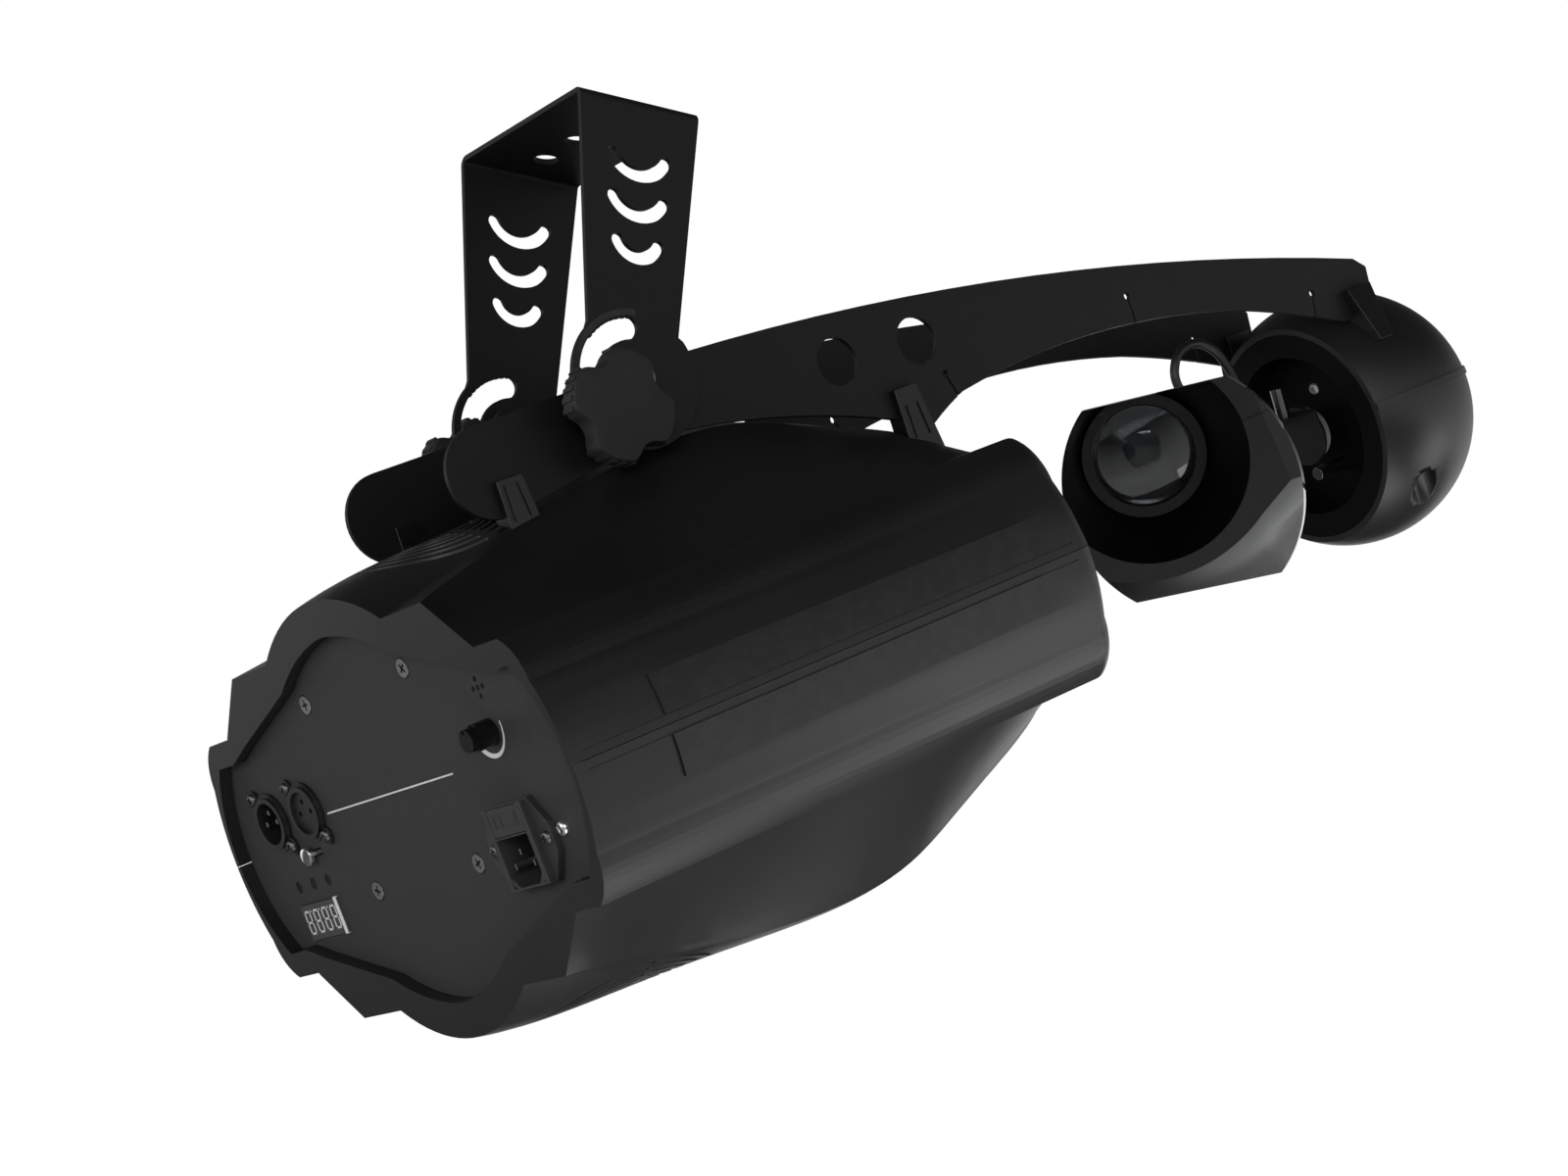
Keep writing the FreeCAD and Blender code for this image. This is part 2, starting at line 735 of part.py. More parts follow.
def grille(level):
    """Concentric curved slots, parted by four ribs, as cutting tools through the top."""
    tools = []
    rings = int((GRILLE_RADIUS - S.grille_hub_radius) / S.grille_pitch)
    for ring in range(rings):
        radius = GRILLE_RADIUS - S.grille_slot / 2 - ring * S.grille_pitch
        margin = math.degrees((S.grille_rib + S.grille_slot) / 2 / radius)
        for quarter in range(4):
            start = 90 * quarter
            tools.append(prism(curved_slot(radius, S.grille_slot, start + margin,
                                           start + 90 - margin, -S.grille_back, 0),
                               "z", *level))
    return tools


STRIP_SHARES = (
    # corner points of a side strip: along the housing, up the lobe's half height
    (0.148, 0.075), (0.782, 0.075), (0.782, 0.365), (0.148, 0.385),
)


def side_strips():
    """Low raised strips that follow the curve of both side lobes."""
    edge = prism(outline(*[(along * HOUSING_LENGTH - S.rim_back, up * S.lobe_half_height)
                           for along, up in STRIP_SHARES]), "y", -HALF_WIDTH - S.overrun,
                 HALF_WIDTH + S.overrun)
    return lobes(-S.strip_height).common(edge).cut(lobes(S.wall / 2))


def seam_lines():
    """Fine moulded line along both sides, above the joint of the two shells."""
    band = block((-S.rim_back + S.panel_depth, S.lobe_front - S.lobe_nose_radius),
                 (-HALF_WIDTH, HALF_WIDTH), (S.seam_line, S.seam_line + S.line_depth))
    return lobes(0.0).common(band).cut(lobes(S.line_depth))


def shell():
    """Upper half of the moulded housing; the lower half mirrors it."""
    outer = half_housing(0.0)
    inner = half_housing(S.wall)
    behind = -S.rim_back + S.wall
    hollow = inner.common(block((behind, S.nose_front - S.wall), (-HALF_WIDTH, HALF_WIDTH),
                                (-S.overrun, S.hump_height)))
    part = outer.cut(hollow)
    collar = recess_prism(S.wall, -S.rim_back, PANEL_BACK + S.wall).cut(
        [recess_prism(-S.ledge, -S.rim_back - S.overrun, PANEL_BACK + 2 * S.wall),
         recess_prism(0, -S.rim_back - S.overrun, PANEL_BACK)])
    upper_only = block((-S.rim_back, S.nose_front), (-HALF_WIDTH, HALF_WIDTH),
                       (0, S.hump_height))
    part = part.fuse(collar.common(upper_only).common(outer))
    part = part.cut([recess_prism(0, -S.rim_back - S.overrun, PANEL_BACK),
                     recess_prism(-S.ledge, -S.rim_back - S.overrun, PANEL_BACK + 2 * S.wall),
                     rod(S.nose_opening_radius, Vector(S.lobe_front, 0, 0),
                         Vector(S.nose_front + S.overrun, 0, 0))])
    part = part.fuse(side_strips()).cut(seam_lines())
    part = part.cut(grille((S.lobe_half_height, S.hump_height + S.overrun)))
    seam = block((-S.rim_back - S.overrun, S.nose_front + S.overrun),
                 (-S.housing_width, S.housing_width), (-S.overrun, S.seam_gap / 2))
    return part.cut(seam)


UPPER = shell()
LOWER = UPPER.mirror(Vector(), Vector(0, 0, 1))
feature("upper_shell", UPPER, BEAM)
feature("lower_shell", LOWER, BEAM)
OUTER_HUMP = half_housing(0.0)


# Clips that join the arms to the housing and to the dome

CLIP_SHARES = (
    # along the reach, top of the clip as a share of the arm's drop
    (-0.168, -0.235), (0.310, -0.480),
)


def clip(side, along, top):
    """Tapered plastic foot with a slot for the arm, seated on the housing."""
    x, z = along * S.arm_reach, top * S.arm_drop
    low = -AXIS_DROP + S.lobe_half_height
    shape = outline((x - S.clip_foot_width / 2, low), (x + S.clip_foot_width / 2, low),
                    (x + S.clip_top_width / 2, z), (x - S.clip_top_width / 2, z))
    middle = S.arm_face - S.arm_sheet / 2
    solid = prism(shape, "y", *sorted((side * (middle - S.clip_thickness / 2),
                                       side * (middle + S.clip_thickness / 2))))
    plate = prism(arm_outline(), "y", *sorted((side * ARM_INNER, side * S.arm_face)))
    hood = OUTER_HUMP.copy()
    hood.translate(Vector(0, 0, -AXIS_DROP))
    return max(solid.cut([plate, hood]).Solids, key=lambda s: s.Volume)


group("arm_clips", [clip(side, *shares) for side in (NEAR, FAR) for shares in CLIP_SHARES], LAMP)


# Rear panel

def spot(shares):
    """Place on the rear panel: out as a share of the half width, up of the hump height."""
    return (shares[0] * HALF_WIDTH, shares[1] * S.hump_height)


PANEL_SCREW_SHARES = ((-0.298, 0.526), (0.298, 0.526), (-0.298, -0.253), (0.298, -0.253),
                      (-0.781, -0.210))
BUTTON_SHARES = ((0.749, -0.157), (0.655, -0.157), (0.561, -0.157))
PANEL_SCREWS = [spot(shares) for shares in PANEL_SCREW_SHARES]
BUTTONS = [spot(shares) for shares in BUTTON_SHARES]
MALE_SHARES, FEMALE_SHARES, INLET_SHARES = (0.742, 0.127), (0.519, 0.127), (-0.582, -0.2245)
DISPLAY_SHARES, DIAL_SHARES, MICROPHONE_SHARES = (0.663, -0.307), (-0.615, 0.198), (-0.632, 0.365)
MALE_SOCKET, FEMALE_SOCKET, INLET = spot(MALE_SHARES), spot(FEMALE_SHARES), spot(INLET_SHARES)
DISPLAY, DIAL, MICROPHONE = spot(DISPLAY_SHARES), spot(DIAL_SHARES), spot(MICROPHONE_SHARES)
SOCKET_SCREW = (S.socket_screw_across, S.socket_screw_up)
LATCH = (FEMALE_SOCKET[0] + S.socket_ring_radius / 2,
         FEMALE_SOCKET[1] - S.socket_ring_radius - S.latch_drop)


def panel_hole(radius, across, up):
    return circle(across, up, radius)


def rear_panel():
    shape = recess_prism(-S.seat_gap, PANEL_FACE, PANEL_BACK)
    holes = [(S.screw_radius, *place) for place in PANEL_SCREWS]
    holes += [(S.socket_ring_radius, *place) for place in (MALE_SOCKET, FEMALE_SOCKET)]
    holes += [(S.button_radius + S.seat_gap, *place) for place in BUTTONS]
    holes += [(S.dial_radius / 2, *DIAL)]
    for across, up in ((0, 0), (-1, 0), (1, 0), (0, -1), (0, 1)):
        reach = S.microphone_pitch
        holes.append((S.contact_radius, MICROPHONE[0] + across * reach,
                      MICROPHONE[1] + up * reach))
    tools = [prism(circle(across, up, radius), "x", PANEL_FACE - S.overrun,
                   PANEL_BACK + S.overrun) for radius, across, up in holes]
    for (across, up), width, height in ((DISPLAY, S.display_width, S.display_height),
                                        (INLET, S.inlet_width, S.inlet_height)):
        half, tall = width / 2 - S.seat_gap, height / 2 - S.seat_gap
        tools.append(block((PANEL_FACE - S.overrun, PANEL_BACK + S.overrun),
                           (across - half, across + half), (up - tall, up + tall)))
    slit = S.socket_ear + S.seat_gap
    tools.append(block((PANEL_FACE - S.overrun, PANEL_BACK + S.overrun),
                       (LATCH[0] - slit, LATCH[0] + slit),
                       (LATCH[1] - S.panel_sheet, LATCH[1] + S.panel_sheet)))
    for socket in (MALE_SOCKET, FEMALE_SOCKET):
        for hand in (-1, 1):
            tools.append(prism(circle(socket[0] + hand * SOCKET_SCREW[0],
                                      socket[1] + hand * SOCKET_SCREW[1], S.screw_radius),
                               "x", PANEL_FACE - S.overrun, PANEL_BACK + S.overrun))
    for hand in (-1, 1):
        tools.append(prism(circle(INLET[0] + hand * S.inlet_ear_spacing / 2, INLET[1],
                                  S.screw_radius), "x", PANEL_FACE - S.overrun,
                           PANEL_BACK + S.overrun))
    return shape.cut(tools)


feature("rear_panel", rear_panel(), BEAM)


def screw(across, up, face, length):
    """Pan-head screw that points forwards from a face."""
    head = rod(S.screw_head_radius, Vector(face - S.screw_head_height, across, up),
               Vector(face, across, up))
    return fuse(head, rod(S.screw_radius, Vector(face, across, up),
                          Vector(face + length, across, up)))


small_screws = [screw(*place, PANEL_FACE, S.screw_length) for place in PANEL_SCREWS]


def ring_flange(place, radius, thickness, ears):
    """Round flange with two screw ears on a diagonal, in front of the panel."""
    across, up = place
    disc = prism(circle(across, up, radius), "x", PANEL_FACE - thickness, PANEL_FACE)
    lugs = [prism(circle(across + hand * ears[0], up + hand * ears[1], S.socket_ear), "x",
                  PANEL_FACE - thickness, PANEL_FACE) for hand in (-1, 1)]
    holes = [prism(circle(across + hand * ears[0], up + hand * ears[1], S.screw_radius), "x",
                   PANEL_FACE - S.overrun, PANEL_FACE + S.overrun) for hand in (-1, 1)]
    return fuse(disc, *lugs), holes


CONTACTS = [polar(S.socket_bore_radius / 2, degrees) for degrees in (0, 90, 180)]


def socket(place, male):
    """Three-pole signal socket with a barrel that passes through the panel."""
    flange, holes = ring_flange(place, S.socket_ring_radius + S.panel_sheet, S.panel_sheet,
                                SOCKET_SCREW)
    front = PANEL_FACE - 2 * S.panel_sheet
    barrel = prism(circle(*place, S.socket_ring_radius), "x", front,
                   PANEL_FACE + S.socket_depth)
    mouth = S.socket_depth / 2 if male else S.panel_sheet
    bore = prism(circle(*place, S.socket_bore_radius), "x", front - S.overrun, front + mouth)
    tools = [bore]
    if not male:
        tools += [prism(circle(place[0] + y, place[1] + z, S.contact_radius), "x",
                        front, front + S.socket_depth / 2) for y, z in CONTACTS]
    return fuse(barrel, flange).cut(tools + holes)


group("signal_sockets", [socket(MALE_SOCKET, True), socket(FEMALE_SOCKET, False)], BEAM)

PIN_ROOT = PANEL_FACE - 2 * S.panel_sheet + S.socket_depth / 2
contact_pins = [rod(S.contact_radius, Vector(PANEL_FACE - S.panel_sheet, MALE_SOCKET[0] + y,
                                             MALE_SOCKET[1] + z),
                    Vector(PIN_ROOT, MALE_SOCKET[0] + y, MALE_SOCKET[1] + z))
                for y, z in CONTACTS]
small_screws += [screw(place[0] + hand * SOCKET_SCREW[0], place[1] + hand * SOCKET_SCREW[1],
                       PANEL_FACE - S.panel_sheet, S.screw_length)
                 for place in (MALE_SOCKET, FEMALE_SOCKET) for hand in (-1, 1)]

def latch_tab():
    """Sheet tab that frees a plug, in a slot below the output socket."""
    across, up = LATCH
    return block((PANEL_FACE - 2 * S.panel_sheet, PANEL_BACK + S.overrun),
                 (across - S.socket_ear, across + S.socket_ear),
                 (up - S.panel_sheet / 2, up + S.panel_sheet / 2))


feature("latch_tab", latch_tab(), BEAM)

# Mains inlet with its fuse drawer

INLET_FRONT = PANEL_FACE - S.inlet_proud
DRAWER_SHARE, PORT_SHARE = 0.31, -0.17
DRAWER_HIGH, PORT_HIGH = 0.34, 0.58
INNER_WIDTH = 0.77 * S.inlet_width


def inlet_bay(share, tall, grow=0.0):
    """Limits of a bay in the inlet's face: (y range, z range)."""
    middle = INLET[1] + share * S.inlet_height
    half, high = INNER_WIDTH / 2 + grow, tall * S.inlet_height / 2 + grow
    return (INLET[0] - half, INLET[0] + half), (middle - high, middle + high)


def mains_inlet():
    across, up = INLET
    half, tall = S.inlet_width / 2, S.inlet_height / 2
    reach = S.inlet_ear_spacing / 2 + S.socket_ear
    flange = prism(outline((across - reach, up - tall / 3), (across - half, up - tall),
                           (across + half, up - tall), (across + reach, up - tall / 3),
                           (across + reach, up + tall / 3), (across + half, up + tall),
                           (across - half, up + tall), (across - reach, up + tall / 3)),
                   "x", PANEL_FACE - S.inlet_flange, PANEL_FACE)
    inner, low = half - 2 * S.seat_gap, tall - 2 * S.seat_gap
    bulk = block((INLET_FRONT, PANEL_FACE + S.inlet_depth), (across - inner, across + inner),
                 (up - low, up + low))
    depth = (INLET_FRONT - S.overrun, INLET_FRONT + 2 * S.drawer_travel / 2 + S.panel_sheet)
    bays = [block(depth, *inlet_bay(DRAWER_SHARE, DRAWER_HIGH)),
            block(depth, *inlet_bay(PORT_SHARE, PORT_HIGH))]
    screws = [prism(circle(across + hand * S.inlet_ear_spacing / 2, up, S.screw_radius), "x",
                    PANEL_FACE - 2 * S.inlet_flange, PANEL_FACE + S.overrun)
              for hand in (-1, 1)]
    return fuse(bulk, flange).cut(bays + screws)


feature("mains_inlet", mains_inlet(), BEAM)
small_screws += [screw(INLET[0] + hand * S.inlet_ear_spacing / 2, INLET[1],
                       PANEL_FACE - S.inlet_flange, S.screw_length) for hand in (-1, 1)]

BAY_FLOOR = INLET_FRONT + S.drawer_travel + S.panel_sheet


def inlet_pins():
    middle = INLET[1] + PORT_SHARE * S.inlet_height
    blade = S.contact_radius
    solids = []
    for across, up in ((-2, -0.5), (2, -0.5), (0, 1)):
        y, z = INLET[0] + 3 * across * blade, middle + 3 * up * blade
        solids.append(block((INLET_FRONT + S.panel_sheet, BAY_FLOOR),
                            (y - blade / 2, y + blade / 2), (z - blade, z + blade)))
    return solids


group("contact_pins", contact_pins + inlet_pins(), BEAM)


def fuse_drawer():
    (left, right), (low, high) = inlet_bay(DRAWER_SHARE, DRAWER_HIGH, -S.seat_gap)
    drawer = block((INLET_FRONT, BAY_FLOOR - S.seat_gap), (left, right), (low, high))
    cradle = block((INLET_FRONT + S.overrun, BAY_FLOOR - S.overrun),
                   (left + S.overrun, right - S.overrun), (low + S.overrun, high))
    return drawer.cut(cradle)


def cartridge_fuse():
    (left, right), (low, high) = inlet_bay(DRAWER_SHARE, DRAWER_HIGH, -S.seat_gap)
    radius = S.bolt_radius / 2 + S.seat_gap
    depth = INLET_FRONT + S.overrun + 2 * radius
    return rod(radius, Vector(depth, left + S.overrun, low + S.overrun + radius),
               Vector(depth, right - S.overrun, low + S.overrun + radius))


group("fuse_drawer", [fuse_drawer(), cartridge_fuse()], BEAM)

# Display, menu buttons, sensitivity dial and microphone

BOARD_FACE = PANEL_FACE + S.display_depth


def display_module():
    half, tall = S.display_width / 2 - 2 * S.seat_gap, S.display_height / 2 - 2 * S.seat_gap
    return block((PANEL_FACE - S.button_travel, BOARD_FACE),
                 (DISPLAY[0] - half, DISPLAY[0] + half), (DISPLAY[1] - tall, DISPLAY[1] + tall))


feature("display_module", display_module(), BEAM)


def control_board():
    """Small board behind the display, on two spacers from the panel, with key switches."""
    left, right = DISPLAY[0] - S.display_width / 2, DISPLAY[0] + S.display_width / 2
    plate = block((BOARD_FACE, BOARD_FACE + S.board), (left, right),
                  (DISPLAY[1] - S.display_height / 2, BUTTONS[0][1] + 2 * S.screw_head_radius))
    posts = [rod(S.screw_head_radius, Vector(PANEL_BACK, y, BUTTONS[0][1] + S.overrun),
                 Vector(BOARD_FACE, y, BUTTONS[0][1] + S.overrun))
             for y in ((BUTTONS[0][0] + BUTTONS[1][0]) / 2, (BUTTONS[1][0] + BUTTONS[2][0]) / 2)]
    return fuse(plate, *posts)


feature("control_board", control_board(), BEAM)


def menu_button(label, place):
    """Plunger that stops short of the board by its travel."""
    button = body(label, BEAM)
    revolve_at = Placement(Vector(0, place[0], place[1]), Rotation())
    button.Placement = BEAM.multiply(revolve_at)
    start = PANEL_FACE + S.seat_gap
    end = BOARD_FACE - S.button_travel - S.seat_gap
    revolve(button, stepped((start, S.button_radius), (PANEL_BACK + S.seat_gap,
                            S.button_radius + 2 * S.seat_gap), (end - S.overrun,
                            S.button_radius / 2), (end, 0.0)))


for number, place in enumerate(BUTTONS, start=1):
    menu_button("menu_button_%d" % number, place)

DIAL_PLACE = BEAM.multiply(Placement(Vector(0, *DIAL), Rotation()))
POT_DEPTH = 2 * S.dial_radius


def sensitivity_knob():
    knob = body("sensitivity_knob", DIAL_PLACE)
    front = PANEL_FACE - S.dial_proud
    back = PANEL_FACE - S.seat_gap
    revolve(knob, stepped((front, S.dial_radius * 0.85), (front + S.dial_proud / 3,
                          S.dial_radius), (back, S.dial_radius / 2 - S.seat_gap),
                          (PANEL_BACK + POT_DEPTH / 2, 0.0)))
    notch = S.dial_radius / 4
    pocket(knob, "YZ", rectangle(-notch / 2, notch / 2, S.dial_radius / 2,
                                 S.dial_radius + S.overrun), front - S.overrun,
           "Sizes.dial_proud")


sensitivity_knob()


def potentiometer():
    pot = turned("potentiometer", stepped((PANEL_BACK, 1.5 * S.dial_radius),
                                          (PANEL_BACK + POT_DEPTH, 0.0)), DIAL_PLACE)
    bore = S.dial_radius / 2 - S.seat_gap + S.fit_gap
    revolve(pot, stepped((PANEL_BACK - S.overrun, bore),
                         (PANEL_BACK + POT_DEPTH / 2 + S.seat_gap, 0.0)), "Groove")


potentiometer()
turned("microphone", stepped((PANEL_BACK, 4 * S.contact_radius),
                             (PANEL_BACK + 5 * S.contact_radius, 0.0)),
       BEAM.multiply(Placement(Vector(0, *MICROPHONE), Rotation())))


# Inside the housing: chassis tray, lamp engine, wheels and lens barrel on one axis

FLOOR = S.wall - S.lobe_half_height
DECK = FLOOR + S.chassis_sheet
SHARED = "Sizes.chassis_sheet"


def chassis():
    tray = body("chassis", BEAM)
    pad(tray, "XY", rectangle(-S.chassis_back, S.chassis_front, -S.chassis_half_width,
                              S.chassis_half_width), SHARED, FLOOR)
    pocket(tray, "XY", circle(-S.grille_back, 0, FAN_BORE), FLOOR - S.overrun)


chassis()


def upright(width, top, x, holes):
    """Sheet bracket: a foot on the deck and a wall across the beam with round holes."""
    wall = block((x, x + S.chassis_sheet), (-width / 2, width / 2), (DECK, top))
    foot = block((x, x + S.sink_size / 4), (-width / 2, width / 2),
                 (DECK, DECK + S.chassis_sheet))
    tools = [prism(circle(0, up, radius), "x", x - S.overrun, x + S.sink_size)
             for up, radius in holes]
    return fuse(wall, foot).cut(tools)


def heat_sink():
    """Finned block behind the lamp board, on two legs."""
    half, back = S.sink_size / 2, -S.led_back
    root = back - S.bolt_radius
    fins = [block((back - S.sink_depth, root), (y, y + S.chassis_sheet), (-half, half))
            for y in [-half + n * (S.sink_size - S.chassis_sheet) / 9 for n in range(10)]]
    base = block((root, back), (-half, half), (-half, half))
    legs = [block((root, back), (side * half - S.bolt_radius, side * half + S.bolt_radius),
                  (DECK, half)) for side in (-1, 1)]
    return fuse(base, *fins, *legs)


feature("heat_sink", heat_sink(), BEAM)
LED_FACE = -S.led_back + S.board
turned("led_module", stepped((-S.led_back, S.condenser_radius),
                             (LED_FACE, S.condenser_radius / 3),
                             (LED_FACE + S.overrun, 0.0)), BEAM)


def convex(label, radius, back, thickness, place):
    """Plano-convex lens whose dome faces forwards."""
    rim = thickness / 3
    bulge = thickness - rim
    curve = (radius ** 2 + bulge ** 2) / (2 * bulge)
    centre = back + thickness - curve
    half = math.degrees(math.asin(radius / curve)) / 2
    lens = body(label, place)
    revolve(lens, outline((back, 0.0), (back, radius), (back + rim, radius),
                          (polar(curve, half, centre), (back + thickness, 0.0))))
    return lens


CONDENSER_BACK = LED_FACE + 2 * S.overrun
HOLDER = S.condenser_radius + S.overrun
convex("condenser_lens", S.condenser_radius, CONDENSER_BACK, S.condenser_radius / 2, BEAM)


def condenser_holder():
    back, front = CONDENSER_BACK - S.chassis_sheet, CONDENSER_BACK + 2 * S.overrun
    ring = rod(HOLDER, Vector(back, 0, 0), Vector(front, 0, 0))
    leg = block((back, front), (-HOLDER, HOLDER), (DECK, 0))
    through = rod(S.condenser_radius, Vector(CONDENSER_BACK, 0, 0), Vector(front + S.overrun, 0, 0))
    lip = rod(S.condenser_radius - S.overrun, Vector(back - S.overrun, 0, 0),
              Vector(front, 0, 0))
    return fuse(ring, leg).cut([through, lip])



WHEEL_Z = S.wheel_centre_drop
COLOUR_X = -S.wheel_spread - 2 * S.wheel_spread / 2
GOBO_X = COLOUR_X + S.wheel_spread
REAR_WALL = COLOUR_X - S.wheel_spread + S.chassis_sheet
FRONT_WALL = GOBO_X + S.wheel_spread - S.chassis_sheet


def wheel_bracket():
    holes = ((0, S.condenser_radius), (WHEEL_Z, S.bolt_radius))
    top = WHEEL_Z + S.motor_radius + S.overrun
    rear = upright(S.bracket_plate_width, top, REAR_WALL - S.chassis_sheet, holes)
    front = upright(S.bracket_plate_width, top, FRONT_WALL, holes)
    tie = block((REAR_WALL - S.chassis_sheet, FRONT_WALL + S.chassis_sheet),
                (-S.bracket_plate_width / 2, S.bracket_plate_width / 2),
                (DECK, DECK + S.chassis_sheet))
    return fuse(rear, front, tie)


feature("wheel_bracket", wheel_bracket(), BEAM)


def wheel(label, x, windows, radius, motor_face):
    """Thin disc on a motor shaft, with evenly spaced windows that pass through the beam."""
    disc = body(label, BEAM.multiply(Placement(Vector(0, 0, WHEEL_Z), Rotation())))
    pad(disc, "YZ", circle(0, 0, S.wheel_radius), "Sizes.wheel_sheet", x)
    holes = []
    for number in range(windows):
        holes += circle(*polar(WHEEL_Z, 270 + 360 * number / windows), radius)
    pocket(disc, "YZ", holes, x - S.overrun)
    ends = (motor_face, x + S.wheel_sheet / 2)
    revolve(disc, stepped((min(ends), S.motor_shaft_radius), (max(ends), 0.0)))


wheel("colour_wheel", COLOUR_X, 8, S.wheel_window_radius,
      REAR_WALL - S.chassis_sheet - S.motor_length / 3)
wheel("gobo_wheel", GOBO_X, 7, 0.8 * S.wheel_window_radius,
      FRONT_WALL + S.chassis_sheet + S.motor_length / 3)


def can_motor(label, face, way, place, radius, length):
    """Round stepper: a can behind its face, and a shaft bore for the turning shaft."""
    motor = body(label, place)
    back = face - way * length
    start, end = sorted((face, back))
    revolve(motor, stepped((start, radius), (end, 0.0)))
    inside = face - way * length / 2
    low, high = sorted((inside, face + way * S.overrun))
    revolve(motor, stepped((low, S.motor_shaft_radius + S.fit_gap), (high, 0.0)), "Groove")
    return motor




def wheel_motor(face, way):
    at, back = Vector(face, 0, WHEEL_Z), Vector(face - way * S.motor_length, 0, WHEEL_Z)
    bore = rod(S.motor_shaft_radius + S.fit_gap, at, (at + back) * 0.5)
    return rod(S.motor_radius, back, at).cut(bore)


group("wheel_motors", [wheel_motor(REAR_WALL - S.chassis_sheet, 1),
                       wheel_motor(FRONT_WALL + S.chassis_sheet, -1)], BEAM)

BARREL_BORE = S.barrel_radius - S.barrel_wall
turned("lens_barrel", tube(S.barrel_back, S.barrel_front, BARREL_BORE, S.barrel_radius), BEAM)
convex("field_lens", BARREL_BORE, S.barrel_back + S.overrun, S.lens_radius / 2, BEAM)
convex("front_lens", BARREL_BORE, S.barrel_front - 2 * S.overrun, S.lens_radius / 3, BEAM)
RING_FRONT = S.barrel_front + S.bolt_radius
turned("lens_ring", outline(
    (S.barrel_front, S.lens_radius + S.overrun / 2), (S.barrel_front, S.barrel_radius),
    (S.barrel_front - S.bolt_radius, S.barrel_radius),
    (S.barrel_front - S.bolt_radius, S.barrel_radius + S.barrel_wall),
    (RING_FRONT, S.barrel_radius + S.barrel_wall),
    (RING_FRONT, S.lens_radius + S.overrun)), BEAM)
group("lens_brackets", [condenser_holder()] + [
    upright(1.2 * S.bracket_plate_width, S.barrel_radius + S.bolt_radius,
            x, ((0, S.barrel_radius),))
    for x in (S.barrel_back + S.bolt_radius, S.lobe_front - S.sink_size / 1.4)], BEAM)
NOSE_WALL = S.nose_front - S.wall
turned("nose_baffle", outline(
    (RING_FRONT - S.bolt_radius, S.barrel_radius + S.barrel_wall),
    (RING_FRONT - S.bolt_radius, S.barrel_radius + 2 * S.barrel_wall),
    (NOSE_WALL - S.barrel_wall, S.nose_opening_radius + S.barrel_wall),
    (NOSE_WALL - S.barrel_wall, S.nose_opening_radius + 2 * S.barrel_wall),
    (NOSE_WALL, S.nose_opening_radius + 2 * S.barrel_wall),
    (NOSE_WALL, S.nose_opening_radius)), BEAM)


def power_supply():
    """Open-frame supply in the far side lobe, on four spacers."""
    inner = S.chassis_half_width - S.supply_width + S.bolt_radius
    x = (-S.supply_length + S.sink_size / 4, S.sink_size / 4)
    y = (inner, inner + S.supply_width)
    level = DECK + 2 * S.bolt_radius
    board = block(x, y, (level, level + S.board))
    edge = S.bolt_radius
    posts = [rod(S.bolt_radius - S.board / 2, Vector(px, py, DECK), Vector(px, py, level))
             for px in (x[0] + edge, x[1] - edge) for py in (y[0] + edge, y[1] - 3 * edge)]
    block_high = level + S.supply_height
    parts = [block((x[0] + S.supply_length * low, x[0] + S.supply_length * high),
                   (y[0] + edge, y[1] - edge), (level, level + share * S.supply_height))
             for low, high, share in ((0.05, 0.3, 0.55), (0.35, 0.65, 0.8), (0.72, 0.95, 0.5))]
    return fuse(board, *posts, *parts)


feature("power_supply", power_supply(), BEAM)


# Cooling fans under the two grilles

FAN_PITCH = FAN_SIZE / 2 - S.bolt_radius


def fan_frame(side):
    """Square frame with a round duct, a hub on spokes and posts to the shell."""
    inner, outer = FAN_LEVEL, FAN_LEVEL + S.fan_depth
    half, middle = FAN_SIZE / 2, -S.grille_back
    frame = block((middle - half, middle + half), (-half, half), (inner, outer))
    duct = rod(FAN_BORE, Vector(middle, 0, inner - S.overrun),
               Vector(middle, 0, outer + S.overrun))
    hub = rod(S.fan_hub_radius, Vector(middle, 0, inner), Vector(middle, 0, inner + S.wall))
    spokes = [block((middle - half, middle + half), (-S.wall / 2, S.wall / 2),
                    (inner, inner + S.wall)),
              block((middle - S.wall / 2, middle + S.wall / 2), (-half, half),
                    (inner, inner + S.wall))]
    room = half_housing(S.wall + S.seat_gap)
    posts = [rod(S.bolt_radius, Vector(middle + px * FAN_PITCH, py * FAN_PITCH, inner),
                 Vector(middle + px * FAN_PITCH, py * FAN_PITCH, S.hump_height)).common(room)
             for px in (-1, 1) for py in (-1, 1)]
    whole = fuse(frame.cut(duct), hub, *spokes, *posts)
    whole = whole.common(room)
    whole = whole.cut(rod(S.fan_axle_radius + S.fit_gap, Vector(middle, 0, inner - S.overrun),
                          Vector(middle, 0, outer)))
    return whole if side > 0 else whole.mirror(Vector(), Vector(0, 0, 1))


TOP_FRAME = fan_frame(1)
group("fan_frames", [TOP_FRAME, TOP_FRAME.mirror(Vector(), Vector(0, 0, 1))], BEAM)


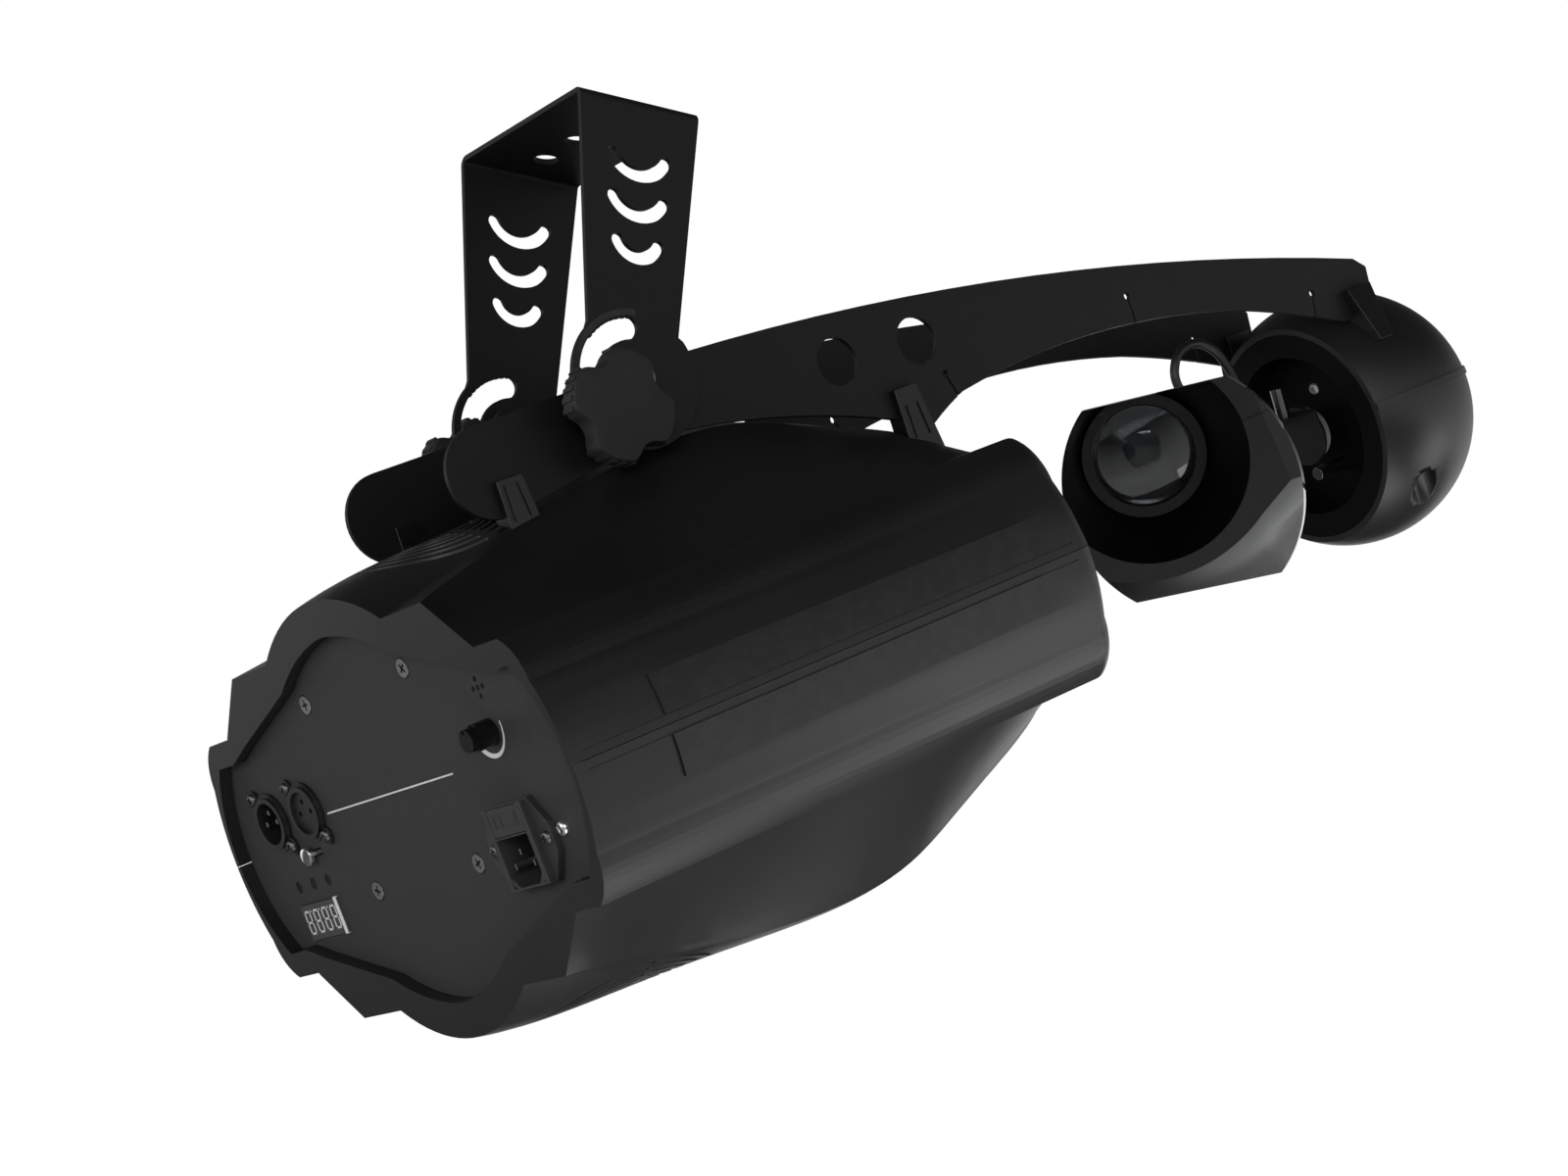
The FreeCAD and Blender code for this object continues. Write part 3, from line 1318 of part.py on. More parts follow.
def fan_rotor(label, side):
    """Hub with seven twisted blades and an axle through the frame's hub."""
    low = FAN_LEVEL + S.wall + S.seat_gap
    high = FAN_LEVEL + S.fan_depth - S.overrun
    hub = rod(S.fan_hub_radius, Vector(0, 0, low), Vector(0, 0, high))
    axle = rod(S.fan_axle_radius, Vector(0, 0, FAN_LEVEL), Vector(0, 0, high))
    middle, chord = (low + high) / 2, high - low - S.overrun
    blades = []
    for number in range(7):
        sections = []
        for reach, pitch in ((S.fan_hub_radius - S.overrun, 50), (FAN_BORE -
                                                                  S.board, 30)):
            lean = math.radians(pitch)
            run, rise = chord / 2 / math.tan(lean) * 0.6, chord / 2
            thick = S.board / 2
            sections.append(Part.makePolygon([
                Vector(reach, -run - thick, middle - rise), Vector(reach, -run + thick, middle - rise),
                Vector(reach, run + thick, middle + rise), Vector(reach, run - thick, middle + rise),
                Vector(reach, -run - thick, middle - rise)]))
        blade = Part.makeLoft(sections, True, True)
        blade.rotate(Vector(), Vector(0, 0, 1), 360 * number / 7)
        blades.append(blade)
    whole = fuse(hub, axle, *blades)
    whole.translate(Vector(-S.grille_back, 0, 0))
    if side < 0:
        whole = whole.mirror(Vector(), Vector(0, 0, 1))
    feature(label, whole, BEAM)


fan_rotor("fan_rotor_top", 1)
fan_rotor("fan_rotor_bottom", -1)


# Dome at the front end of the arms, in two half shells round the pan drive

DOME = BEAM.multiply(Placement(Vector(DOME_CENTRE, 0, 0), Rotation()))
DOME_BORE = S.dome_radius - S.dome_wall
MOUTH = -S.mouth_back
MOUTH_RADIUS = math.sqrt(S.dome_radius ** 2 - S.mouth_back ** 2)
MOUTH_BORE = math.sqrt(DOME_BORE ** 2 - S.mouth_back ** 2)


WELL_SHARES = ((-0.157, -0.693), (-0.157, 0.693))


def dome_shell():
    ball, core = Part.makeSphere(S.dome_radius), Part.makeSphere(DOME_BORE)
    return ball, ball.cut(core)


def dome_upper():
    """Half shell with a raised band along the seam, behind the mouth."""
    shell_part = dome_shell()[1]
    ball = Part.makeSphere(S.dome_radius + S.band_proud)
    band = ball.cut(Part.makeSphere(S.dome_radius - S.dome_wall / 2)).common(
        block((MOUTH, 2 * S.dome_radius), (-2 * S.dome_radius, 2 * S.dome_radius),
              (0, S.band_height)))
    half = block((MOUTH, S.dome_radius), (-S.dome_radius, S.dome_radius), (0, S.dome_radius))
    return fuse(shell_part.common(half), band)


def dome_lower():
    """Half shell with two screw wells, round bores that meet the slope as ovals."""
    ball, whole = dome_shell()
    half = block((MOUTH, S.dome_radius), (-S.dome_radius, S.dome_radius),
                 (-S.dome_radius, 0))
    whole = whole.common(half)
    for along, across in WELL_SHARES:
        x, y = along * S.dome_radius, across * S.dome_radius
        bottom, top = Vector(x, y, -S.dome_radius), Vector(x, y, -S.well_floor)
        roof = Vector(x, y, S.dome_wall - S.well_floor)
        boss = rod(S.well_radius + S.dome_wall, bottom, roof).common(ball)
        whole = whole.fuse(boss).cut([
            rod(S.well_radius, bottom, top), rod(S.screw_radius, top, roof + (roof - top))])
    return whole.removeSplitter()


feature("dome_upper", dome_upper(), DOME)
feature("dome_lower", dome_lower(), DOME)

RECESS_FLOOR = MOUTH + S.mouth_recess
turned("dome_mouth", outline(
    (MOUTH, S.mouth_hole_radius), (MOUTH, MOUTH_BORE - S.fit_gap),
    (MOUTH + S.dome_wall, MOUTH_BORE - S.fit_gap),
    (MOUTH + S.dome_wall, S.mouth_hole_radius + S.dome_wall),
    (RECESS_FLOOR + S.dome_wall, S.mouth_hole_radius + S.dome_wall),
    (RECESS_FLOOR + S.dome_wall, S.motor_shaft_radius + S.wall),
    (RECESS_FLOOR, S.motor_shaft_radius + S.wall),
    (RECESS_FLOOR, S.mouth_hole_radius)), DOME)
MOTOR_FACE = RECESS_FLOOR + S.dome_wall
can_motor("pan_motor", MOTOR_FACE, -1, DOME, S.motor_radius, S.motor_length)

EAR_ANGLE = 110.0
EAR = polar(S.motor_ear_spacing / 2, EAR_ANGLE)
PIN = polar(S.motor_ear_spacing / 2, EAR_ANGLE + 140)


def pan_screw(across, up):
    head = rod(S.screw_head_radius, Vector(RECESS_FLOOR - S.screw_head_height, across, up),
               Vector(RECESS_FLOOR, across, up))
    return head


for up_or_down in (-1, 1):
    fastener = pan_screw(up_or_down * EAR[0], up_or_down * EAR[1])
    fastener.translate(Vector(DOME_CENTRE, 0, 0))
    small_screws.append(fastener)
for along, across in WELL_SHARES:
    x, y = DOME_CENTRE + along * S.dome_radius, across * S.dome_radius
    start = Vector(x, y, -S.well_floor - S.screw_head_height)
    seat = Vector(x, y, -S.well_floor)
    small_screws.append(fuse(rod(S.screw_head_radius, start, seat),
                             rod(S.screw_radius, start, seat + Vector(0, 0, 2 * S.dome_wall))))
group("small_screws", small_screws, BEAM)
feature("pan_stop_pin", rod(S.stop_pin_radius, Vector(RECESS_FLOOR - S.stop_pin_length, *PIN),
                            Vector(RECESS_FLOOR, *PIN)), DOME)


DOME_CLIP_SHARES = (0.84, 1.16)     # upper and lower edge, of the arms' drop


def dome_clip(side):
    """Wedge that holds an arm's end against the dome."""
    top, low = (share * END_DROP for share in DOME_CLIP_SHARES)
    front = S.arm_reach
    inner, outer = ARM_INNER - S.board, S.arm_face + S.bolt_radius

    def frame(level, back, ahead, reach):
        return Part.makePolygon([
            Vector(front - back, side * inner, -level), Vector(front - ahead, side * inner, -level),
            Vector(front - ahead, side * reach, -level), Vector(front - back, side * reach, -level),
            Vector(front - back, side * inner, -level)])

    wedge = Part.makeLoft([
        frame(top, S.clip_foot_width + S.bolt_radius, S.bolt_radius + S.wall, outer),
        frame(low, S.clip_foot_width + S.wall, S.clip_top_width, outer + 2 * S.bolt_radius)],
        True, True)
    plate = prism(arm_outline(), "y", *sorted((side * ARM_INNER, side * S.arm_face)))
    ball = Part.makeSphere(S.dome_radius, Vector(DOME_CENTRE, 0, -AXIS_DROP))
    return max(wedge.cut([plate, ball]).Solids, key=lambda s: s.Volume)


group("dome_clips", [dome_clip(side) for side in (NEAR, FAR)], LAMP)


# Pan yoke and tilt drive

YOKE_FACE = DOME_CENTRE + MOUTH + S.yoke_sheet     # back of the yoke's upright
HUB_BACK = YOKE_FACE + S.hub_length
ARM_TOP = S.yoke_level + S.yoke_sheet
turned("pan_hub", stepped((YOKE_FACE, S.hub_radius), (HUB_BACK, S.motor_shaft_radius),
                          (DOME_CENTRE + MOTOR_FACE + S.motor_length / 3, 0.0)), PAN)


def pan_yoke():
    """Bent sheet: a round-ended upright on the hub and an arm out to the tilt motor."""
    half = S.yoke_width / 2
    upright_plate = fuse(
        rod(S.yoke_disc_radius, Vector(YOKE_FACE - S.yoke_sheet, 0, 0), Vector(YOKE_FACE, 0, 0)),
        block((YOKE_FACE - S.yoke_sheet, YOKE_FACE), (-half, half), (0, ARM_TOP)))
    reach = block((TILT_CENTRE, YOKE_FACE), (-half, half), (S.yoke_level, ARM_TOP))
    tip = rod(half, Vector(TILT_CENTRE, 0, S.yoke_level), Vector(TILT_CENTRE, 0, ARM_TOP))
    rivet = rod(S.motor_shaft_radius, Vector(TILT_CENTRE, 0, S.yoke_level),
                Vector(TILT_CENTRE, 0, S.ear_level + 2 * S.mirror_plate))
    return fuse(upright_plate, reach, tip, rivet)


feature("pan_yoke", pan_yoke(), PAN)
TILT = PAN.multiply(Placement(Vector(TILT_CENTRE, 0, 0), Rotation(Vector(0, 1, 0), -90)))
can_motor("tilt_motor", S.yoke_level - S.tilt_motor_length, -1, TILT,
          S.tilt_motor_radius, S.tilt_motor_length)
PILLAR_X = YOKE_FACE - S.stop_pin_length + S.wall
feature("yoke_pillar", rod(S.stop_pin_radius, Vector(PILLAR_X, -S.hub_radius / 2, ARM_TOP),
                           Vector(PILLAR_X, -S.hub_radius / 2, ARM_TOP + S.pillar_length)), PAN)

# Lead of the tilt motor: it leaves the arm behind the motor, loops over and plugs in again

CABLE_SHARES = (
    # ahead of the tilt axis, across and up, all as shares of the yoke's width
    (0.731, 0.0, 0.5), (0.731, 0.0, 1.0), (0.385, 0.02, 1.42), (0.173, 0.04, 1.92),
    (0.46, 0.06, 2.365), (1.0, 0.077, 2.44), (1.44, 0.077, 2.15), (1.654, 0.058, 1.69),
    (1.75, 0.04, 1.21), (1.77, 0.02, 0.73),
)
CABLE_ROUTE = [(TILT_CENTRE + ahead * S.yoke_width, across * S.yoke_width, up * S.yoke_width)
               for ahead, across, up in CABLE_SHARES]


def bent_tube(route, radius):
    """Round tube along straight runs joined by tangent arcs."""
    points = [Vector(*point) for point in route]
    edges, start, tightest = [], points[0], None
    for before, here, after in zip(points, points[1:], points[2:]):
        back, ahead = before - here, after - here
        turn = math.pi - back.getAngle(ahead)
        trim = 0.45 * min(back.Length, ahead.Length)
        bend = trim / math.tan(turn / 2)
        tightest = bend if tightest is None else min(tightest, bend)
        first = here + back.normalize() * trim
        last = here + ahead.normalize() * trim
        inward = ((back + ahead) * 0.5).normalize()
        centre = here + inward * math.hypot(trim, bend)
        middle = centre - inward * bend
        edges += [Part.makeLine(start, first), Part.Arc(first, middle, last).toShape()]
        start = last
    edges.append(Part.makeLine(start, points[-1]))
    path = Part.Wire(edges)
    ring = Part.Wire([Part.makeCircle(radius, points[0], points[1] - points[0])])
    solid = path.makePipeShell([ring], True, False)
    print("tube volume share", solid.Volume / (math.pi * radius ** 2 * path.Length),
          "tightest bend", tightest)
    return solid


PLUG_X, PLUG_Y, PLUG_Z = CABLE_ROUTE[-1]
PLUG = block((PLUG_X - S.bolt_radius, PLUG_X + S.bolt_radius),
             (PLUG_Y - S.bolt_radius, PLUG_Y + S.bolt_radius), (ARM_TOP, PLUG_Z))
feature("tilt_motor_cable", fuse(bent_tube(CABLE_ROUTE, S.cable_radius), PLUG), PAN)


# Mirror and its mount, which tilt together

GLASS_FACE = -S.mirror_offset
GLASS_BACK = GLASS_FACE + S.mirror_glass
PLATE_BACK = GLASS_BACK + S.mirror_plate


def mirror_glass():
    glass = body("mirror", MIRROR)
    side, tall, flat = S.mirror_half_width, S.mirror_half_height, S.mirror_flat
    pad(glass, "YZ", outline(((-side, 0.0), (-flat, -tall)), (flat, -tall),
                             ((side, 0.0), (flat, tall)), (-flat, tall)),
        "Sizes.mirror_glass", GLASS_FACE)


mirror_glass()


def mirror_mount():
    """Bent plate behind the glass with two ears on the tilt axis."""
    half, ear = S.yoke_width / 2, S.ear_level
    top = ear + S.mirror_plate
    plate = block((GLASS_BACK, PLATE_BACK), (-1.5 * half, 1.5 * half), (-top, top))
    solids = [plate]
    for low in (ear, -top):
        solids.append(block((GLASS_BACK, 0), (-half / 2, half / 2), (low, low + S.mirror_plate)))
        solids.append(rod(half / 2, Vector(0, 0, low), Vector(0, 0, low + S.mirror_plate)))
    shaft = rod(S.motor_shaft_radius, Vector(0, 0, -top),
                Vector(0, 0, S.yoke_level - 2 * S.tilt_motor_length / 3))
    return fuse(*solids, shaft).cut(
        rod(S.motor_shaft_radius + S.fit_gap, Vector(0, 0, ear / 2), Vector(0, 0, top + S.overrun)))


feature("mirror_mount", mirror_mount(), MIRROR)


# Check every piece and write it out

doc.recompute()
os.makedirs("parts", exist_ok=True)
broken = [o.Label for o in doc.Objects if set(o.State) & {"Invalid", "Error"}]
for piece in pieces:
    if piece.Shape.isNull() or not piece.Shape.isValid() or not piece.Shape.Solids:
        broken.append(piece.Label)
if broken:
    raise RuntimeError("pieces that failed: " + ", ".join(broken))
for piece in pieces:
    piece.Shape.exportStep(os.path.join("parts", piece.Label + ".step"))
print(len(pieces), "pieces written")
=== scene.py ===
# %% [markdown]
# # LED scanner light
#
# A stage light that hangs from a U bracket. The lamp engine sits in a domed plastic
# housing, two flat steel arms run forwards past the lens, and the ball at their end
# carries a motorised mirror that throws the beam about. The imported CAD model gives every
# piece its size and place. This notebook gives the pieces their finish and adds what is
# too small for the CAD: cross recesses, digits, print, grip ribs and rolled edges.

# %% Load the frame
import json
from math import cos, pi, radians, sin

import bmesh
import bpy
import numpy
from mathutils import Matrix, Vector
from mathutils.kdtree import KDTree

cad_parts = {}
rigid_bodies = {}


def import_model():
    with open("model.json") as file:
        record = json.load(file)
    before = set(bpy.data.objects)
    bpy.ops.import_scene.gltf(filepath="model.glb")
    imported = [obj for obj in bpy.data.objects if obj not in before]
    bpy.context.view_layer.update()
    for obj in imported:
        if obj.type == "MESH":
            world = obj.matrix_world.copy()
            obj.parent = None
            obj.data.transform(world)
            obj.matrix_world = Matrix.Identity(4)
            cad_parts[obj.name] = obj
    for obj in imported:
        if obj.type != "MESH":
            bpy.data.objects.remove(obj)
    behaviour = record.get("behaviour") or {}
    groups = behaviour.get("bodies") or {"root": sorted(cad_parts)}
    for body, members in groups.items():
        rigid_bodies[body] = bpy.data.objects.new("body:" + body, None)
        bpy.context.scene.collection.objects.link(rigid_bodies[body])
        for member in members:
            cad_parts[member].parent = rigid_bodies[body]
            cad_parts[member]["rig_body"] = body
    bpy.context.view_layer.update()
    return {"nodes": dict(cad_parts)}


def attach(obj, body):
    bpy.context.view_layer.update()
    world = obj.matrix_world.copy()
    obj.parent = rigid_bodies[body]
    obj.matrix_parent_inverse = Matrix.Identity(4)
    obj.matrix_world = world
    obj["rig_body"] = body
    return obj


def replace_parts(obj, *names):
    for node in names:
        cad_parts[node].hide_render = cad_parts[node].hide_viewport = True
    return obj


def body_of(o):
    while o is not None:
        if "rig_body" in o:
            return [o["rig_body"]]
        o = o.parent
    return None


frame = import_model()

# %% [markdown]
# ## The lamp's own frames
#
# The lamp hangs nose up by 26 degrees. Work on a tilted object is easiest in its own
# axes, so a few frames are kept as matrices: the lamp at its pivot, the beam axis below
# it, and the rear panel with its face as a drawing board. In the panel's frame x runs up
# the panel, y across it and z out of it. Sizes are then plain millimetres.

# %% Frames
MM = 0.001
SHRINK = Matrix.Scale(MM, 4)
LAMP = Matrix.Translation((0, 0, -0.124)) @ Matrix.Rotation(radians(-26), 4, "Y") @ SHRINK
BEAM = LAMP @ Matrix.Translation((0, 0, -132.4))
OUT_OF_PANEL = Matrix.Rotation(radians(-90), 4, "Y")
PANEL = BEAM @ Matrix.Translation((-148.1, 0, 0)) @ OUT_OF_PANEL
print("beam axis starts at", [round(x, 3) for x in BEAM.translation])

# %% [markdown]
# ## One group for every finish
#
# Black powder coat, moulded plastic and bare metal all show the same few things close
# up: a fine grain, a slow drift in colour, edges that catch light, and dust on faces
# that look up. One node group makes these from a handful of inputs, and each material
# places it with its own values. The group puts out a colour, a roughness and a height,
# and the shader itself stays in the material.

# %% Surface group
CLOUD_SCALE, RUB_SCALE = 9.0, 160.0        # drift in colour, broken-up edge wear
EDGE_FROM, EDGE_GAIN = 0.53, 12.0          # pointiness at which an edge starts to wear
DUST_COLOUR = (0.3, 0.29, 0.27, 1)


def surface_group():
    tree = bpy.data.node_groups.new("Worn surface", "ShaderNodeTree")
    for name, kind, value in (
            ("Colour", "NodeSocketColor", (0.02, 0.02, 0.02, 1)),
            ("Edge colour", "NodeSocketColor", (0.1, 0.1, 0.1, 1)),
            ("Roughness", "NodeSocketFloat", 0.5), ("Drift", "NodeSocketFloat", 0.15),
            ("Grain size", "NodeSocketFloat", 900.0), ("Edge wear", "NodeSocketFloat", 0.2),
            ("Dust", "NodeSocketFloat", 0.05)):
        socket = tree.interface.new_socket(name, in_out="INPUT", socket_type=kind)
        socket.default_value = value
    for name, kind in (("Colour", "NodeSocketColor"), ("Roughness", "NodeSocketFloat"),
                       ("Height", "NodeSocketFloat")):
        tree.interface.new_socket(name, in_out="OUTPUT", socket_type=kind)
    nodes, links = tree.nodes, tree.links
    enter, leave = nodes.new("NodeGroupInput"), nodes.new("NodeGroupOutput")
    where = nodes.new("ShaderNodeTexCoord")

    def noise(scale, detail=2.0):
        node = nodes.new("ShaderNodeTexNoise")
        node.inputs["Detail"].default_value = detail
        links.new(where.outputs["Object"], node.inputs["Vector"])
        if isinstance(scale, float):
            node.inputs["Scale"].default_value = scale
        else:
            links.new(scale, node.inputs["Scale"])
        return node.outputs["Fac"]

    def maths(kind, first, second=None, clamp=False):
        node = nodes.new("ShaderNodeMath")
        node.operation, node.use_clamp = kind, clamp
        for socket, value in zip(node.inputs, (first, second)):
            if value is None:
                continue
            if isinstance(value, (int, float)):
                socket.default_value = value
            else:
                links.new(value, socket)
        return node.outputs[0]

    def mixed(share, first, second):
        node = nodes.new("ShaderNodeMix")
        node.data_type = "RGBA"
        links.new(share, node.inputs["Factor"])
        for socket, value in ((node.inputs["A"], first), (node.inputs["B"], second)):
            if isinstance(value, tuple):
                socket.default_value = value
            else:
                links.new(value, socket)
        return node.outputs["Result"]

    grain = noise(enter.outputs["Grain size"], 3.0)
    clouds = noise(CLOUD_SCALE, 4.0)
    drift = maths("MULTIPLY", maths("SUBTRACT", clouds, 0.5), enter.outputs["Drift"])
    bend = nodes.new("ShaderNodeNewGeometry")
    edge = maths("MULTIPLY", maths("SUBTRACT", bend.outputs["Pointiness"], EDGE_FROM),
                 EDGE_GAIN, True)
    rubbed = maths("GREATER_THAN", noise(RUB_SCALE), 0.5)
    worn = maths("MULTIPLY", maths("MULTIPLY", edge, rubbed), enter.outputs["Edge wear"], True)
    upward = nodes.new("ShaderNodeSeparateXYZ")
    links.new(bend.outputs["Normal"], upward.inputs[0])
    dust = maths("MULTIPLY", maths("MULTIPLY", upward.outputs["Z"], clouds, True),
                 enter.outputs["Dust"], True)
    bright = nodes.new("ShaderNodeHueSaturation")
    links.new(maths("ADD", maths("MULTIPLY", drift, 2.0), 1.0), bright.inputs["Value"])
    links.new(enter.outputs["Colour"], bright.inputs["Color"])
    dusty = mixed(dust, bright.outputs["Color"], DUST_COLOUR)
    links.new(mixed(worn, dusty, enter.outputs["Edge colour"]), leave.inputs["Colour"])
    rough = maths("ADD", enter.outputs["Roughness"], maths("MULTIPLY", drift, 0.7))
    links.new(maths("ADD", rough, maths("MULTIPLY", dust, 0.4), True), leave.inputs["Roughness"])
    links.new(grain, leave.inputs["Height"])
    return tree


WORN = surface_group()


def finish(name, colour, rough, metal=0.0, edge=None, grain=900.0, depth=0.02, wear=0.15,
           drift=0.2, dust=0.03, **sockets):
    """Material from the shared group; the grain's depth is in millimetres."""
    material = bpy.data.materials.new(name)
    material.use_nodes = True
    nodes, links = material.node_tree.nodes, material.node_tree.links
    shader = nodes["Principled BSDF"]
    group = nodes.new("ShaderNodeGroup")
    group.node_tree = WORN
    edge = edge or tuple(min(1.0, 2.5 * c + 0.02) for c in colour)
    for key, value in (("Colour", (*colour, 1)), ("Edge colour", (*edge, 1)),
                       ("Roughness", rough), ("Drift", drift), ("Grain size", grain),
                       ("Edge wear", wear), ("Dust", dust)):
        group.inputs[key].default_value = value
    bump = nodes.new("ShaderNodeBump")
    bump.inputs["Distance"].default_value = depth * MM
    links.new(group.outputs["Height"], bump.inputs["Height"])
    links.new(group.outputs["Colour"], shader.inputs["Base Color"])
    links.new(group.outputs["Roughness"], shader.inputs["Roughness"])
    links.new(bump.outputs["Normal"], shader.inputs["Normal"])
    shader.inputs["Metallic"].default_value = metal
    for key, value in sockets.items():
        shader.inputs[key.replace("_", " ")].default_value = value
    return material


POWDER_COAT = finish("Black powder coat", (0.0075, 0.0075, 0.008), 0.5, grain=1400, depth=0.03,
                     Specular_IOR_Level=0.22)
# A paler coat, used only for the painted highlight round the bracket's slots.
LIP_HIGHLIGHT_COAT = finish("Powder coat, painted lip highlight", (0.022, 0.022, 0.022), 0.45, grain=1400, depth=0.03,
                   Specular_IOR_Level=0.3)
SHELL = finish("Moulded shell plastic", (0.008, 0.008, 0.0085), 0.38, grain=1800, depth=0.03,
               drift=0.3, Specular_IOR_Level=0.45)
# Darker than the shell, with little sheen: painted shade on the dome's mouth, which lies in
# shadow.
SHADED_MOUTH = finish("Mouth plastic, painted shade", (0.0015, 0.0015, 0.0015), 0.5, grain=1800, Specular_IOR_Level=0.08)
PANEL_PAINT = finish("Rear panel paint", (0.03, 0.03, 0.031), 0.6, grain=1600, depth=0.02,
                     Specular_IOR_Level=0.25)
KNOB = finish("Knob plastic", (0.025, 0.025, 0.026), 0.62, grain=1300, depth=0.04,
              Specular_IOR_Level=0.25)
CLIP = finish("Clip plastic", (0.006, 0.006, 0.006), 0.3, grain=1600, Specular_IOR_Level=0.4)
SOCKET = finish("Socket plastic", (0.010, 0.010, 0.010), 0.36, Specular_IOR_Level=0.4)
INLET = finish("Mains inlet plastic", (0.028, 0.028, 0.028), 0.42, Specular_IOR_Level=0.4)
DEEP_BLACK = finish("Button and dial plastic", (0.003, 0.003, 0.003), 0.4,
                    Specular_IOR_Level=0.2)
ZINC = finish("Zinc plate", (0.5, 0.5, 0.49), 0.32, 1.0, wear=0.0, grain=600)
DARK_STEEL = finish("Dark plated steel", (0.16, 0.16, 0.16), 0.3, 1.0, wear=0.1)
PANEL_SCREW = finish("Panel screw steel", (0.3, 0.3, 0.3), 0.42, 1.0, wear=0.0, grain=700)
BLACK_SCREW = finish("Dark screw steel", (0.12, 0.12, 0.12), 0.4, 1.0, wear=0.3)
HUB_PLATE = finish("Turned hub plate", (0.34, 0.34, 0.34), 0.42, 0.5, wear=0.0, grain=700)
BRIGHT = finish("Bright plated steel", (0.86, 0.86, 0.84), 0.14, 1.0, wear=0.0, grain=500)
MOTOR_CAN = finish("Motor can", (0.4, 0.4, 0.4), 0.35, 1.0, wear=0.0)
RAW_ALUMINIUM = finish("Raw aluminium", (0.74, 0.75, 0.76), 0.34, 1.0, wear=0.0)
GALVANISED = finish("Galvanised sheet", (0.55, 0.56, 0.56), 0.42, 1.0, drift=0.5, wear=0.0)
BARREL = finish("Anodised barrel", (0.006, 0.006, 0.006), 0.34, grain=1500,
                Specular_IOR_Level=0.3)
CIRCUIT = finish("Circuit board", (0.02, 0.11, 0.05), 0.4, wear=0.0)
EMITTER = finish("Emitter board", (0.86, 0.8, 0.45), 0.4, wear=0.0)
FAN = finish("Fan plastic", (0.008, 0.008, 0.008), 0.45, Specular_IOR_Level=0.3)
SLEEVE = finish("Cable sleeve", (0.010, 0.010, 0.010), 0.45, grain=1100, depth=0.04)
print(len(bpy.data.materials), "finishes")

# %% [markdown]
# ## Glass, mirror and display
#
# The mirror is glass silvered on its front, so it is a polished metal with no grain. The
# lenses are clear glass with a faint coating. The display is a grey filter over pale
# digits, and the print on the panel is a flat white ink.

# %% Clear and shining finishes
def plain(name, colour, rough, metal=0.0, **sockets):
    material = bpy.data.materials.new(name)
    material.use_nodes = True
    shader = material.node_tree.nodes["Principled BSDF"]
    shader.inputs["Base Color"].default_value = (*colour, 1)
    shader.inputs["Roughness"].default_value = rough
    shader.inputs["Metallic"].default_value = metal
    for key, value in sockets.items():
        shader.inputs[key.replace("_", " ")].default_value = value
    return material


SILVERED = plain("Silvered glass", (0.82, 0.83, 0.84), 0.012, 1.0)
LENS = plain("Lens glass", (0.42, 0.43, 0.44), 0.02, 0.0, Transmission_Weight=1.0, IOR=1.5,
             Coat_Weight=0.3, Coat_Roughness=0.02)
FILTER = plain("Display filter", (0.07, 0.07, 0.072), 0.2, Coat_Weight=0.3)
SEGMENT = plain("Display segment", (0.6, 0.6, 0.6), 0.4)
PRINT = plain("White print", (0.72, 0.72, 0.72), 0.55)

CAD_FINISH = {
    POWDER_COAT: "u_bracket arm_near arm_far pan_yoke mirror_mount",
    SHELL: "upper_shell lower_shell dome_upper dome_lower",
    # The mouth's darker finish is painted shade.
    SHADED_MOUTH: "dome_mouth",
    KNOB: "clamp_knob_near clamp_knob_far",
    CLIP: "arm_clips dome_clips",
    PANEL_PAINT: "rear_panel",
    SOCKET: "signal_sockets",
    INLET: "mains_inlet fuse_drawer",
    DEEP_BLACK: "menu_button_1 menu_button_2 menu_button_3 sensitivity_knob",
    ZINC: "washers nuts clamp_stud_near clamp_stud_far latch_tab",
    DARK_STEEL: "pivot_screws pan_stop_pin yoke_pillar",
    BLACK_SCREW: "small_screws",
    HUB_PLATE: "pan_hub",
    BRIGHT: "contact_pins",
    MOTOR_CAN: "wheel_motors pan_motor tilt_motor potentiometer microphone",
    RAW_ALUMINIUM: "heat_sink colour_wheel gobo_wheel",
    GALVANISED: "chassis lens_brackets wheel_bracket",
    BARREL: "lens_barrel nose_baffle lens_ring",
    CIRCUIT: "control_board power_supply",
    EMITTER: "led_module",
    FAN: "fan_frames fan_rotor_top fan_rotor_bottom",
    SLEEVE: "tilt_motor_cable",
    SILVERED: "mirror",
    LENS: "condenser_lens field_lens front_lens",
    FILTER: "display_module",
}
FINISH_OF = {}
for material, names in CAD_FINISH.items():
    for name in names.split():
        FINISH_OF[name] = material
        node = frame["nodes"][name]
        node.data.materials.clear()
        node.data.materials.append(material)
print("nodes without a finish:", sorted(set(frame["nodes"]) - set(FINISH_OF)))

# %% [markdown]
# ## Stage, light and camera
#
# The photograph was taken from below the lamp, against white. A pale floor lies well
# under it and glows for the camera alone, so that it looks pale and lights nothing. The
# world is white where the camera or a lens sees it. To a mirror or a gloss it is white
# round the horizon and dim overhead, and as a light it is softer still, so that the upper
# faces stay deep black. Area lamps give the broad sheen on the black plastic: one beside
# the camera, one behind the rear panel, one before the nose and one low under the
# housing, whose light draws the bright lower edges. The camera is the one that fits the
# photograph's points: an 80 mm lens one and a half metres away.

# %% Stage
FLOOR_GLOW = 0.8            # share of plain white in what the camera sees of the floor


